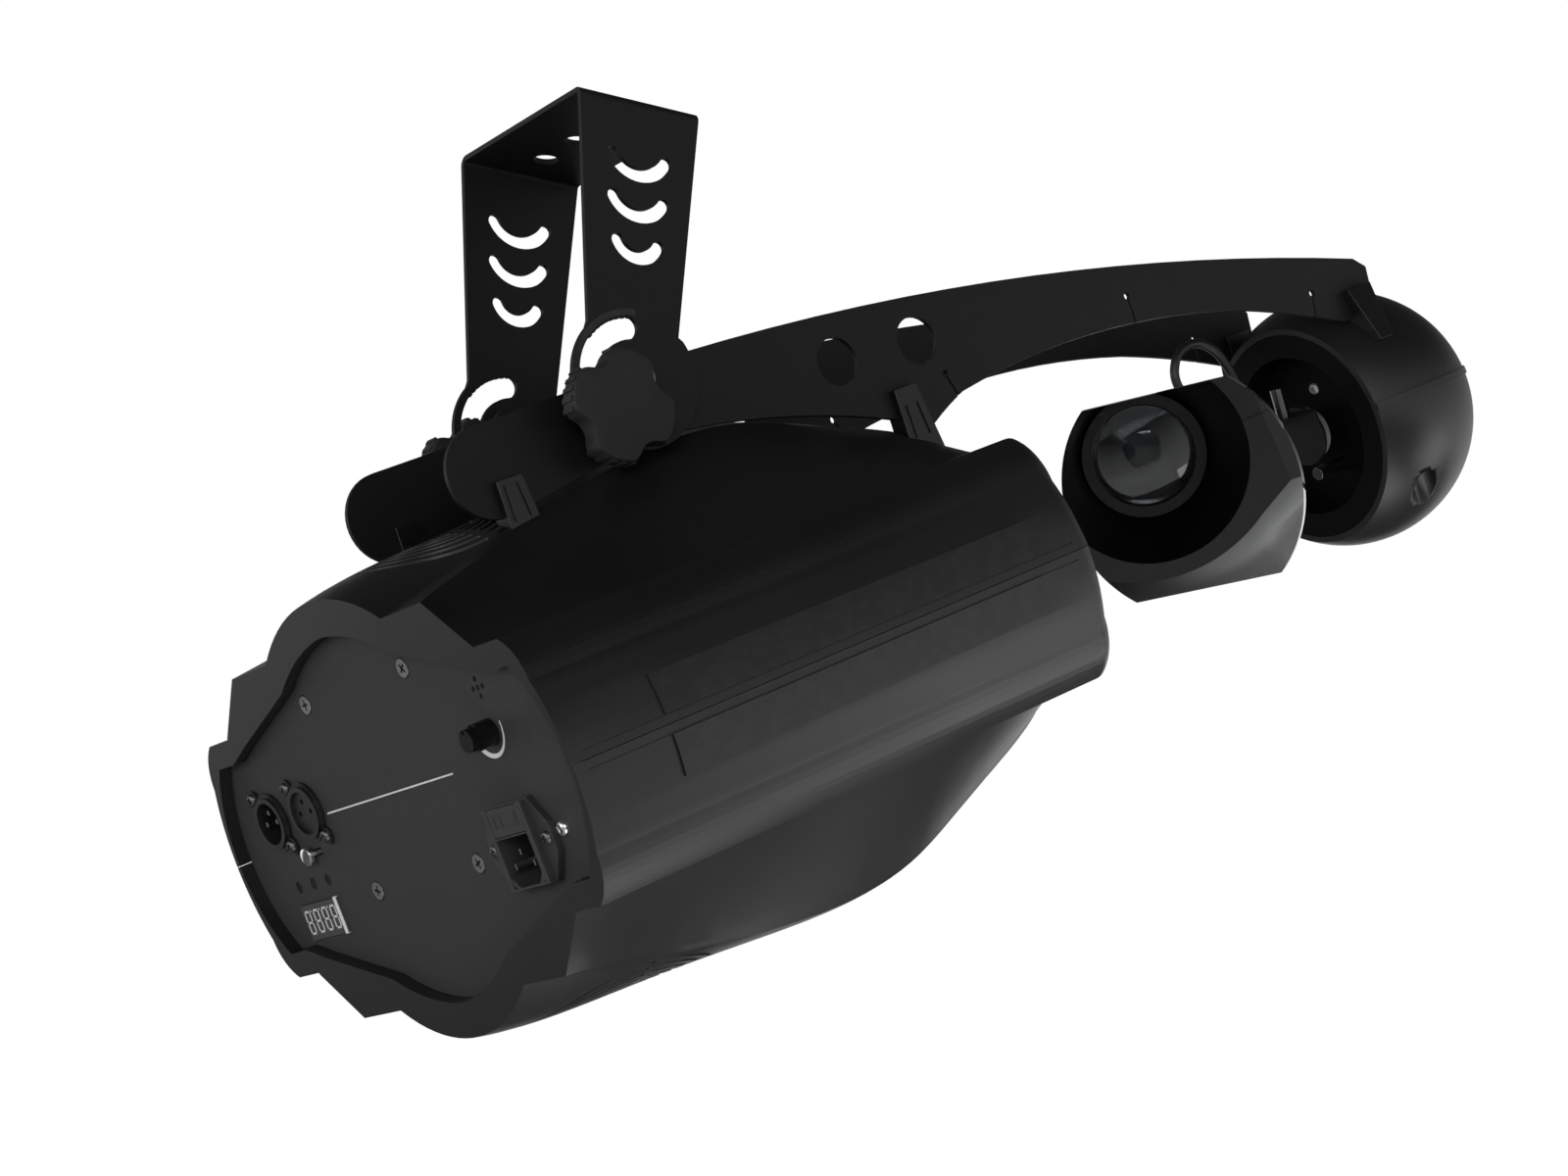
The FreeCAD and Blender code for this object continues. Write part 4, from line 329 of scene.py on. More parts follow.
def add_floor(level, reach):
    mesh = bpy.data.meshes.new("Floor")
    mesh.from_pydata([(-reach, -reach, level), (reach, -reach, level), (reach, reach, level),
                      (-reach, reach, level)], [], [(0, 1, 2, 3)])
    floor = bpy.data.objects.new("Floor", mesh)
    bpy.context.collection.objects.link(floor)
    material = bpy.data.materials.new("Pale floor")
    material.use_nodes = True
    nodes = material.node_tree.nodes
    nodes["Principled BSDF"].inputs["Base Color"].default_value = (0.8, 0.8, 0.8, 1)
    nodes["Principled BSDF"].inputs["Roughness"].default_value = 0.9
    ray = nodes.new("ShaderNodeLightPath")
    share = nodes.new("ShaderNodeMath")
    share.operation = "MULTIPLY"
    share.inputs[1].default_value = FLOOR_GLOW
    glow, mix = nodes.new("ShaderNodeEmission"), nodes.new("ShaderNodeMixShader")
    links = material.node_tree.links
    links.new(ray.outputs["Is Camera Ray"], share.inputs[0])
    links.new(share.outputs[0], mix.inputs["Fac"])
    links.new(nodes["Principled BSDF"].outputs[0], mix.inputs[1])
    links.new(glow.outputs[0], mix.inputs[2])
    links.new(mix.outputs[0], nodes["Material Output"].inputs["Surface"])
    mesh.materials.append(material)


add_floor(-1.25, 6.0)

world = bpy.data.worlds.new("Studio")
bpy.context.scene.world = world
world.use_nodes = True
tree = world.node_tree
ray, sky = tree.nodes.new("ShaderNodeLightPath"), tree.nodes.new("ShaderNodeTexCoord")
height = tree.nodes.new("ShaderNodeSeparateXYZ")
tree.links.new(sky.outputs["Generated"], height.inputs[0])


def backdrop(low, high):
    """Even backdrop up to a little above the horizon, dimmer overhead."""
    fade = tree.nodes.new("ShaderNodeMapRange")
    for label, value in (("From Min", 0.05), ("From Max", 0.6), ("To Min", low), ("To Max", high)):
        fade.inputs[label].default_value = value
    tree.links.new(height.outputs["Z"], fade.inputs["Value"])
    node = tree.nodes.new("ShaderNodeBackground")
    node.inputs["Color"].default_value = (1, 1, 1, 1)
    tree.links.new(fade.outputs["Result"], node.inputs["Strength"])
    return node.outputs[0]


def choose(kind, other, chosen):
    """One backdrop for one kind of ray, another for the rest."""
    node = tree.nodes.new("ShaderNodeMixShader")
    tree.links.new(ray.outputs[kind], node.inputs["Fac"])
    tree.links.new(other, node.inputs[1])
    tree.links.new(chosen, node.inputs[2])
    return node.outputs[0]


shown = choose("Is Glossy Ray", backdrop(0.36, 0.02), backdrop(1.0, 0.05))
white = backdrop(1.0, 1.0)
shown = choose("Is Transmission Ray", shown, white)
shown = choose("Is Camera Ray", shown, white)
tree.links.new(shown, tree.nodes["World Output"].inputs["Surface"])
tree.nodes.remove(tree.nodes["Background"])


def add_lamp(name, place, aim, size, watts):
    light = bpy.data.lights.new(name, "AREA")
    light.shape, light.size, light.size_y = "RECTANGLE", size[0], size[1]
    light.energy = watts
    lamp = bpy.data.objects.new(name, light)
    bpy.context.collection.objects.link(lamp)
    way = Vector(aim) - Vector(place)
    aimed = way.to_track_quat("-Z", "Y").to_matrix().to_4x4()
    lamp.matrix_world = Matrix.Translation(place) @ aimed


add_lamp("Beside the camera", (-1.6, -2.3, -0.2), (0.1, 0, -0.25), (1.2, 0.9), 18)
add_lamp("Behind the panel", (-2.3, 0.3, -0.6), (-0.1, 0, -0.3), (1.0, 1.2), 15)
add_lamp("Under the housing", (0.3, -0.35, -1.15), (0.1, 0, -0.3), (1.5, 1.0), 12)
add_lamp("Before the nose", (1.7, -0.9, -0.7), (0.2, -0.1, -0.3), (0.8, 0.8), 6)

AZIMUTH, ELEVATION, ROLL = radians(-33.38), radians(-13.63), radians(0.26)
right = Vector((cos(AZIMUTH), sin(AZIMUTH), 0))
ahead = Vector((-sin(AZIMUTH) * cos(ELEVATION), cos(AZIMUTH) * cos(ELEVATION), -sin(ELEVATION)))
up = right.cross(ahead)
FOCAL_PIXELS, DEPTH = 3580.0, 1.530
ORIGIN_AT = (587.56, 139.41)
eye = (-ahead * DEPTH - right * (ORIGIN_AT[0] - 800) * DEPTH / FOCAL_PIXELS
       + up * (ORIGIN_AT[1] - 600) * DEPTH / FOCAL_PIXELS)
camera_data = bpy.data.cameras.new("Camera")
camera_data.lens = FOCAL_PIXELS * 36 / 1600
camera_data.clip_start = 0.05
camera = bpy.data.objects.new("Camera", camera_data)
bpy.context.collection.objects.link(camera)
turn = Matrix((right, up, -ahead)).transposed() @ Matrix.Rotation(ROLL, 3, "Z")
camera.matrix_world = Matrix.Translation(eye) @ turn.to_4x4()
bpy.context.scene.camera = camera
bpy.context.scene.view_settings.view_transform = "Standard"
print("camera at", [round(x, 3) for x in eye])

# %% [markdown]
# ## Soft edges on pressed and moulded pieces
#
# No real edge is sharp: a bent sheet has a rolled edge under its paint, and a moulding
# has a small radius from its tool. The CAD mesh is loose triangles, so a copy is welded,
# its flat faces are dissolved into whole ones, and a narrow bevel with weighted normals
# rounds what is left. The two shells get no bevel, only evened normals. The copy then
# stands for its CAD node on the same body.

# %% Softened copies
# The shells' curved faces turn by less than 9 degrees from one facet to the next, and
# most seams between two of their forms by more, so that those seams stay crisp.
SEAM_ANGLES = {"upper_shell": 11, "lower_shell": 11}
SHARP_ANGLE = 32            # degrees, for every other node
WELD, FLAT_WITHIN = 2e-6, 0.6


def even_normals(data, reach=7.0, spread=18, largest=20.0):
    """Normal at each corner: the mean of the faces near it that turn by less than spread.

    The shells' facets are long and thin beside a seam, and a mean over one vertex's own
    faces would draw a ragged edge there. Reach and largest are in mm and mm2.
    """
    spots = KDTree(len(data.vertices))
    around = [[] for vertex in data.vertices]
    for vertex in data.vertices:
        spots.insert(vertex.co, vertex.index)
    spots.balance()
    for face in data.polygons:
        for index in face.vertices:
            around[index].append(face.index)
    facing = numpy.array([face.normal[:] for face in data.polygons])
    share = numpy.array([min(face.area, largest * MM * MM) for face in data.polygons])
    corners = {}
    for vertex in data.vertices:
        near = {face for _, other, _ in spots.find_range(vertex.co, reach * MM)
                for face in around[other]}
        near = numpy.array(sorted(near))
        normals, own = facing[near], facing[around[vertex.index]]
        kept = (own @ normals.T > cos(radians(spread))) * share[near]
        means = kept @ normals
        for face, mean in zip(around[vertex.index], means):
            corners[vertex.index, face] = mean / numpy.linalg.norm(mean)
    data.normals_split_custom_set([corners[index, face.index]
                                   for face in data.polygons for index in face.vertices])


def soften(name, width, angle, segments=2):
    """Copy of a CAD node with rolled edges; the width is in millimetres."""
    source = frame["nodes"][name]
    mesh = bmesh.new()
    mesh.from_mesh(source.data)
    bmesh.ops.remove_doubles(mesh, verts=mesh.verts, dist=WELD)
    bmesh.ops.dissolve_limit(mesh, angle_limit=radians(FLAT_WITHIN), verts=mesh.verts,
                             edges=mesh.edges)
    for face in mesh.faces:
        face.smooth = True
    data = bpy.data.meshes.new(name + "_soft")
    mesh.to_mesh(data)
    mesh.free()
    copy = bpy.data.objects.new(name + "_soft", data)
    bpy.context.collection.objects.link(copy)
    data.materials.append(FINISH_OF[name])
    data.set_sharp_from_angle(angle=radians(angle))
    if width:
        bevel = copy.modifiers.new("Rolled edge", "BEVEL")
        bevel.width, bevel.segments = width * MM, segments
        bevel.limit_method, bevel.angle_limit = "ANGLE", radians(angle)
        bevel.harden_normals = True
        bevel.use_clamp_overlap = True
    if name in SEAM_ANGLES:
        even_normals(data)
    else:
        even = copy.modifiers.new("Even shading", "WEIGHTED_NORMAL")
        even.keep_sharp = True
    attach(copy, body_of(source)[0])
    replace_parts(copy, name)


EDGE_WIDTHS = {
    "u_bracket": 0.5, "arm_near": 0.5, "arm_far": 0.5, "arm_clips": 1.4, "dome_clips": 1.2,
    "rear_panel": 0.25, "upper_shell": 0.0, "lower_shell": 0.0, "dome_upper": 0.0,
    "dome_lower": 0.0, "dome_mouth": 0.3, "signal_sockets": 0.25, "mains_inlet": 0.4,
    "pan_yoke": 0.4, "pan_hub": 0.3, "mirror_mount": 0.3, "sensitivity_knob": 0.4,
    "yoke_pillar": 0.3, "pan_stop_pin": 0.3, "lens_barrel": 0.0, "lens_ring": 0.4,
    "nose_baffle": 0.0, "tilt_motor": 0.6, "front_lens": 0.0, "pivot_screws": 0.8,
    "fuse_drawer": 0.3, "washers": 0.2,
}
for name, width in EDGE_WIDTHS.items():
    soften(name, width, SEAM_ANGLES.get(name, SHARP_ANGLE))
print("softened", len(EDGE_WIDTHS), "nodes")

# %% [markdown]
# ## Node trees for what repeats
#
# Screws, display bars, grip ribs and scale teeth all repeat one small shape. Geometry
# Nodes suits that: one tree makes the shape and sets it on points, and the same tree
# serves again with other sizes. Three small helpers keep the trees short: one opens a
# tree with named inputs, one adds a node, and one turns the result into a plain mesh.

# %% Helpers for the trees
def new_tree(name, sizes):
    """Tree with a geometry input, one input for each size, and a material."""
    tree = bpy.data.node_groups.new(name, "GeometryNodeTree")
    tree.is_modifier = True
    face = tree.interface
    face.new_socket("Geometry", in_out="INPUT", socket_type="NodeSocketGeometry")
    for label, value in sizes.items():
        kind = "NodeSocketInt" if isinstance(value, int) else "NodeSocketFloat"
        face.new_socket(label, in_out="INPUT", socket_type=kind).default_value = value
    face.new_socket("Material", in_out="INPUT", socket_type="NodeSocketMaterial")
    face.new_socket("Geometry", in_out="OUTPUT", socket_type="NodeSocketGeometry")
    return tree, tree.nodes.new("NodeGroupInput").outputs


def add_node(tree, kind, inputs, **settings):
    """Node with its inputs set or linked; a list links all its sockets to one input."""
    node = tree.nodes.new("GeometryNode" + kind if kind[0] != "=" else "ShaderNode" + kind[1:])
    for key, value in settings.items():
        setattr(node, key, value)
    for key, value in inputs.items():
        for item in value if isinstance(value, list) else [value]:
            if isinstance(item, bpy.types.NodeSocket):
                tree.links.new(item, node.inputs[key])
            else:
                node.inputs[key].default_value = item
    return node.outputs[0]


def reckon(tree, operation, *values):
    return add_node(tree, "=Math", dict(enumerate(values)), operation=operation)


def close_tree(tree, geometry, given):
    """Real meshes and their material come last, because the export drops instances."""
    real = add_node(tree, "RealizeInstances", {0: geometry})
    last = add_node(tree, "SetMaterial", {"Geometry": real, "Material": given["Material"]})
    tree.links.new(last, tree.nodes.new("NodeGroupOutput").inputs[0])
    return tree


def on_points(tree, item, given):
    """Copies of an item on the points of the mesh, each turned about z by its own angle."""
    angle = add_node(tree, "InputNamedAttribute", {"Name": "turn"}, data_type="FLOAT")
    turned = add_node(tree, "=CombineXYZ", {"Z": angle})
    copies = add_node(tree, "InstanceOnPoints", {"Points": given["Geometry"], "Instance": item,
                                                 "Rotation": turned})
    return close_tree(tree, copies, given)


def grow(name, spots, tree, sizes, place, material, body, *stands_for, crease=30):
    """Plain mesh from a tree: spots are (x, y, z, turn in degrees) in the frame of place."""
    points = bpy.data.meshes.new(name + "_points")
    points.from_pydata([spot[:3] for spot in spots], [], [])
    turns = points.attributes.new("turn", "FLOAT", "POINT")
    for item, spot in zip(turns.data, spots):
        item.value = radians(spot[3])
    seed = bpy.data.objects.new(name + "_points", points)
    bpy.context.collection.objects.link(seed)
    grower = seed.modifiers.new("Grow", "NODES")
    grower.node_group = tree
    for socket in tree.interface.items_tree:
        if socket.in_out == "INPUT" and socket.name in sizes:
            grower[socket.identifier] = sizes[socket.name]
        if socket.in_out == "INPUT" and socket.name == "Material":
            grower[socket.identifier] = material
    graph = bpy.context.evaluated_depsgraph_get()
    mesh = bpy.data.meshes.new_from_object(seed.evaluated_get(graph), depsgraph=graph)
    bpy.data.objects.remove(seed)
    mesh.name = name
    mesh.materials.clear()
    mesh.materials.append(material)
    mesh.transform(place)
    for face in mesh.polygons:
        face.use_smooth, face.material_index = True, 0
    mesh.set_sharp_from_angle(angle=radians(crease))
    piece = bpy.data.objects.new(name, mesh)
    bpy.context.collection.objects.link(piece)
    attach(piece, body)
    if stands_for:
        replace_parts(piece, *stands_for)
    print(name, len(mesh.polygons), "faces")


# %% [markdown]
# ## A cross-head screw
#
# The head is a sphere pressed into shape: its height is scaled and then cut off level, so
# a low flatness gives the round pan head and a high one the nearly flat countersunk head.
# Two crossed bars are subtracted for the recess. The tree's inputs carry all the sizes.

# %% Screw tree
def screw_tree():
    tree, given = new_tree("Cross-head screws", {
        "Radius": 2.9, "Height": 1.6, "Flatness": 1.3, "Recess width": 0.7,
        "Recess depth": 0.5})
    ball = add_node(tree, "MeshUVSphere", {"Segments": 28, "Rings": 14,
                                           "Radius": given["Radius"]})
    place = tree.nodes.new("GeometryNodeInputPosition").outputs[0]
    parts = tree.nodes.new("ShaderNodeSeparateXYZ")
    tree.links.new(place, parts.inputs[0])
    share = reckon(tree, "DIVIDE", parts.outputs["Z"], given["Radius"])
    rise = reckon(tree, "MULTIPLY", share, reckon(tree, "MULTIPLY", given["Height"],
                                                  given["Flatness"]))
    level = reckon(tree, "MINIMUM", rise, given["Height"])
    pressed = add_node(tree, "SetPosition", {
        "Geometry": ball, "Position": add_node(tree, "=CombineXYZ", {
            "X": parts.outputs["X"], "Y": parts.outputs["Y"], "Z": level})})
    bar = add_node(tree, "MeshCube", {"Size": add_node(tree, "=CombineXYZ", {
        "X": reckon(tree, "MULTIPLY", given["Radius"], 1.15), "Y": given["Recess width"],
        "Z": reckon(tree, "MULTIPLY", given["Recess depth"], 2.0)})})
    top = add_node(tree, "=CombineXYZ", {"Z": given["Height"]})
    bars = [add_node(tree, "Transform", {"Geometry": bar, "Translation": top,
                                         "Rotation": (0.0, 0.0, angle)})
            for angle in (0.0, pi / 2)]
    cross = add_node(tree, "MeshBoolean", {1: bars}, operation="UNION")
    head = add_node(tree, "MeshBoolean", {0: pressed, 1: cross}, operation="DIFFERENCE")
    return on_points(tree, head, given)


SCREWS = screw_tree()
print(SCREWS.name, "with", len(SCREWS.nodes), "nodes")

# %% [markdown]
# ## The screws, where the CAD has them
#
# The CAD node holds all the small screws as plain cylinders. Its mesh falls into loose
# parts, one for each screw, and the box of each part gives the head's place. Four flat
# panel screws, one bright earth screw beside the mains inlet, dark pan heads in the
# sockets, and two deep in the wells of the dome take the place of the node.

# %% Screws
def loose_boxes(name, back):
    """Lowest and highest corner of each loose part of a CAD node, in another frame."""
    mesh = bmesh.new()
    mesh.from_mesh(frame["nodes"][name].data)
    bmesh.ops.remove_doubles(mesh, verts=mesh.verts, dist=1e-5)
    boxes, waiting = [], set(mesh.verts)
    while waiting:
        queue, part = [waiting.pop()], []
        while queue:
            point = queue.pop()
            part.append(back @ point.co)
            for edge in point.link_edges:
                other = edge.other_vert(point)
                if other in waiting:
                    waiting.remove(other)
                    queue.append(other)
        boxes.append([Vector(edge(p[i] for p in part) for i in range(3)) for edge in (min, max)])
    mesh.free()
    return sorted(boxes, key=lambda box: tuple(box[0]))


FLAT_HEAD = {"Radius": 4.0, "Height": 0.35, "Flatness": 5.0, "Recess width": 1.1,
             "Recess depth": 1.1}
COUNTERSINK = {"Radius": 4.5, "Height": 0.08, "Flatness": 5.0, "Recess depth": 0.01}
PAN_HEAD = {"Radius": 2.9, "Height": 1.6, "Flatness": 1.35, "Recess width": 0.8,
            "Recess depth": 0.7}
EARTH_HEAD = dict(PAN_HEAD, Radius=3.4, Height=2.0)
RISE = PAN_HEAD["Height"]
FLAT_TOP = 1.7              # a head that stands less than this above the panel lies flat
EARTH_BEYOND, WELLS_BEYOND = -100, 30       # across the panel
flat, earth, pan_heads, wells, drive = [], [], [], [], []
for index, (low, high) in enumerate(loose_boxes("small_screws", PANEL.inverted())):
    middle = (low + high) / 2
    spot = (middle.x, middle.y)
    if 0 < high.z < FLAT_TOP:
        (earth if middle.y < EARTH_BEYOND else flat).append((*spot, 0.0, 20 + 50 * index))
    elif high.z > 0:
        pan_heads.append((*spot, high.z - RISE, 35 * index))
    elif abs(middle.y) > WELLS_BEYOND:
        wells.append((low, high))
    else:
        drive.append((*spot, high.z - RISE, 40 * index))
grow("panel_screws", flat, SCREWS, FLAT_HEAD, PANEL, PANEL_SCREW, "lamp", "small_screws")
grow("countersinks", flat, SCREWS, COUNTERSINK, PANEL, DEEP_BLACK, "lamp")
grow("earth_screw", earth, SCREWS, EARTH_HEAD, PANEL, BRIGHT, "lamp")
grow("socket_screws", pan_heads, SCREWS, PAN_HEAD, PANEL, BLACK_SCREW, "lamp")
grow("drive_screws", drive, SCREWS, PAN_HEAD, PANEL, HUB_PLATE, "lamp")
print(len(flat), "flat,", len(earth), "earth,", len(pan_heads), "socket,", len(drive),
      "drive and", len(wells), "well screws")

DOWN = PANEL @ Matrix.Rotation(radians(-90), 4, "Y")
TO_WELLS = DOWN.inverted() @ PANEL
well_spots = []
for low, high in wells:
    middle = Vector((low.x, (low.y + high.y) / 2, (low.z + high.z) / 2))
    well_spots.append((*(TO_WELLS @ middle)[:2], (TO_WELLS @ low).z - RISE, 25.0))
grow("well_screws", well_spots, SCREWS, PAN_HEAD, DOWN, BRIGHT, "lamp")

# %% [markdown]
# ## Bars on points
#
# The lit bars of the display, the ribs round a knob, the ridges of a clip and the teeth
# of a scale are all small bars that stand on a face. One tree serves them all: a box
# with its foot on the point, its length along x before it is turned.

# %% Bar tree
def bar_tree():
    tree, given = new_tree("Bars on points", {"Length": 4.0, "Width": 1.0, "Height": 0.3})
    bar = add_node(tree, "MeshCube", {"Size": add_node(tree, "=CombineXYZ", {
        "X": given["Length"], "Y": given["Width"], "Z": given["Height"]})})
    foot = add_node(tree, "=CombineXYZ", {"Z": reckon(tree, "DIVIDE", given["Height"], 2.0)})
    return on_points(tree, add_node(tree, "Transform", {"Geometry": bar, "Translation": foot}),
                     given)


BARS = bar_tree()
DISPLAY_UP, DISPLAY_ACROSS, DISPLAY_FACE = -32.5, 96.47, 0.8
DIGIT_SHIFT, DIGIT_PITCH, DIGIT_HALF = 1.3, 7.9, 4.9
upright, level, stops = [], [], []
for digit in range(4):
    across = DISPLAY_ACROSS + DIGIT_SHIFT + DIGIT_PITCH * (digit - 1.5)
    for side in (-1, 1):
        for end in (-1, 1):
            upright.append((DISPLAY_UP + 2.45 * end, across + 2.15 * side, DISPLAY_FACE, 0))
    for row in (-1, 0, 1):
        level.append((DISPLAY_UP + DIGIT_HALF * row, across, DISPLAY_FACE, 90))
    stops.append((DISPLAY_UP + DIGIT_HALF, across - 3.7, DISPLAY_FACE, 0))
grow("display_uprights", upright, BARS, {"Length": 4.0, "Width": 0.95, "Height": 0.05}, PANEL,
     SEGMENT, "lamp")
grow("display_crossbars", level, BARS, {"Length": 3.5, "Width": 0.95, "Height": 0.05}, PANEL,
     SEGMENT, "lamp")
grow("display_stops", stops, BARS, {"Length": 0.9, "Width": 0.9, "Height": 0.05}, PANEL,
     SEGMENT, "lamp")
grow("display_edge", [(DISPLAY_UP, DISPLAY_ACROSS - 15.5, 0.0, 0)], BARS,
     {"Length": 16.6, "Width": 2.5, "Height": 1.0}, PANEL, PRINT, "lamp")

# %% [markdown]
# ## A tapered band
#
# The dial's white scale changes width along its sweep, and the bracket's slot has a paler band
# round it, a painted highlight where a raised lip would catch the light. Both are a band that
# follows an arc. A flat grid is bent in the tree: its first coordinate becomes the angle and
# its second the radius. The bent grid is then extruded, and a flipped copy closes its back.

# %% Band tree
def band_tree():
    tree, given = new_tree("Band round an arc", {
        "Radius": 12.0, "Start": 0.0, "Sweep": 90.0, "First width": 1.0, "Last width": 1.0,
        "Thickness": 0.1, "Steps": 48})
    grid = add_node(tree, "MeshGrid", {"Size X": 1.0, "Size Y": 1.0,
                                       "Vertices X": given["Steps"], "Vertices Y": 2})
    place = tree.nodes.new("GeometryNodeInputPosition").outputs[0]
    parts = tree.nodes.new("ShaderNodeSeparateXYZ")
    tree.links.new(place, parts.inputs[0])
    along = reckon(tree, "ADD", parts.outputs["X"], 0.5)
    turned = reckon(tree, "ADD", given["Start"], reckon(tree, "MULTIPLY", along,
                                                        given["Sweep"]))
    angle = reckon(tree, "RADIANS", turned)
    swell = reckon(tree, "SUBTRACT", given["Last width"], given["First width"])
    width = reckon(tree, "ADD", given["First width"], reckon(tree, "MULTIPLY", along, swell))
    inwards = reckon(tree, "MULTIPLY", parts.outputs["Y"], width)
    radius = reckon(tree, "SUBTRACT", given["Radius"], inwards)
    bent = add_node(tree, "SetPosition", {
        "Geometry": grid, "Position": add_node(tree, "=CombineXYZ", {
            "X": reckon(tree, "MULTIPLY", radius, reckon(tree, "COSINE", angle)),
            "Y": reckon(tree, "MULTIPLY", radius, reckon(tree, "SINE", angle))})})
    raised = add_node(tree, "ExtrudeMesh", {
        "Mesh": bent, "Offset": (0.0, 0.0, 1.0), "Offset Scale": given["Thickness"],
        "Individual": False}, mode="FACES")
    back = add_node(tree, "FlipFaces", {0: bent})
    whole = add_node(tree, "JoinGeometry", {0: [raised, back]})
    welded = add_node(tree, "MergeByDistance", {"Geometry": whole, "Distance": 0.0001})
    return close_tree(tree, welded, given)


BANDS = band_tree()
DIAL = PANEL @ Matrix.Translation((22.5, -87.0, 0))
grow("dial_scale", [], BANDS, {"Radius": 11.0, "Start": -275.0, "Sweep": 193.0,
                               "First width": 3.0, "Last width": 0.5, "Thickness": 0.05},
     DIAL, PRINT, "lamp")
grow("panel_rule", [(10.1, 5.0, 0.0, 90)], BARS,
     {"Length": 110.3, "Width": 0.7, "Height": 0.04}, PANEL, PRINT, "lamp")

# %% [markdown]
# ## The latch button and the fuse drawer
#
# The release of the female socket ends in a round plated button, and the fuse drawer
# has a moulded frame on its face. The button is a turned shape, so its half outline is
# spun about its own axis and the seam and poles are welded.

# %% Turned and embossed details
def add_solid(name, mesh, place, material, body, crease=35):
    """Piece from a bmesh, smooth up to the crease angle in degrees."""
    bmesh.ops.recalc_face_normals(mesh, faces=mesh.faces)
    for face in mesh.faces:
        face.smooth = True
    data = bpy.data.meshes.new(name)
    mesh.to_mesh(data)
    mesh.free()
    data.set_sharp_from_angle(angle=radians(crease))
    data.materials.append(material)
    data.transform(place)
    piece = bpy.data.objects.new(name, data)
    bpy.context.collection.objects.link(piece)
    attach(piece, body)
    print(name, len(data.polygons), "faces")
    return piece


def lathe(name, outline, place, material, body, steps=40):
    """Solid of revolution about z from (radius, height) points, first and last on the axis."""
    mesh = bmesh.new()
    points = [mesh.verts.new((radius, 0, height)) for radius, height in outline]
    edges = [mesh.edges.new(pair) for pair in zip(points, points[1:])]
    bmesh.ops.spin(mesh, geom=points + edges, cent=(0, 0, 0), axis=(0, 0, 1),
                   angle=2 * pi, steps=steps, use_duplicate=False)
    bmesh.ops.remove_doubles(mesh, verts=mesh.verts, dist=1e-4)
    add_solid(name, mesh, place, material, body)


LATCH_AT = (-4.7, 87.0, 0)
lathe("latch_button", [(0, 1.3), (3.7, 1.3), (4.1, 1.6), (4.1, 3.0), (3.8, 3.4), (2.6, 3.6),
                       (0, 3.65)],
      PANEL @ Matrix.Translation(LATCH_AT), BRIGHT, "latch")
DRAWER_FACE = 6.0
FRAME_BAR = {"Width": 0.6, "Height": 0.25}
grow("drawer_frame", [(-10.6, -84.7, DRAWER_FACE, 90), (-15.6, -84.7, DRAWER_FACE, 90)], BARS,
     dict(FRAME_BAR, Length=17.0), PANEL, INLET, "drawer")
grow("drawer_ends", [(-13.1, -93.0, DRAWER_FACE, 0), (-13.1, -76.4, DRAWER_FACE, 0),
                     (-13.1, -81.5, DRAWER_FACE, 0)], BARS,
     dict(FRAME_BAR, Length=4.6), PANEL, INLET, "drawer")

# %% [markdown]
# ## Corners of the mains inlet
#
# The opening for the plug has its two lower corners cut off, so that a plug only goes in
# one way round. A stout bar set across each corner of the CAD's square opening gives it
# the slanted wall.

# %% Inlet corners
PORT_CORNERS = [(-38.16, -95.0, -8.0, -45), (-38.16, -74.4, -8.0, 45)]
grow("inlet_corners", PORT_CORNERS, BARS, {"Length": 6.0, "Width": 2.0, "Height": 13.6}, PANEL,
     INLET, "lamp")

# %% [markdown]
# ## Star knobs
#
# The clamp knob has a flat face with four broad lobes. Its outline is a circle bitten by
# four smaller circles, worked out as a radius for each angle and then averaged with its
# neighbours, which rounds the corners as a moulding does. Rings of that outline, each
# with its own inset and height, are bridged into a solid. Grip ribs stand on the lobes'
# sides, five to a lobe, and come from the bar tree.

# %% Knobs
KNOB_RADIUS, NOTCH_RADIUS, NOTCH_CENTRE, HUB_RADIUS = 24.0, 9.2, 27.7, 10.0
KNOB_TURN, KNOB_STEPS, BLUNTED = 56.0, 240, 4
KNOB_BACK, HUB_BACK = 10.7, 13.4


def star_radius(degrees_round):
    """Distance to the star's edge in one direction, before its corners are rounded."""
    off = radians((degrees_round - KNOB_TURN + 45 + 45) % 90 - 45)
    across = NOTCH_CENTRE * sin(off)
    if abs(across) >= NOTCH_RADIUS:
        return KNOB_RADIUS
    return min(KNOB_RADIUS, NOTCH_CENTRE * cos(off) - (NOTCH_RADIUS ** 2 - across ** 2) ** 0.5)


def star_outline():
    raw = [star_radius(360 * step / KNOB_STEPS) for step in range(KNOB_STEPS)]
    near = range(-BLUNTED, BLUNTED + 1)
    return [sum(raw[(step + shift) % KNOB_STEPS] for shift in near) / len(near)
            for step in range(KNOB_STEPS)]


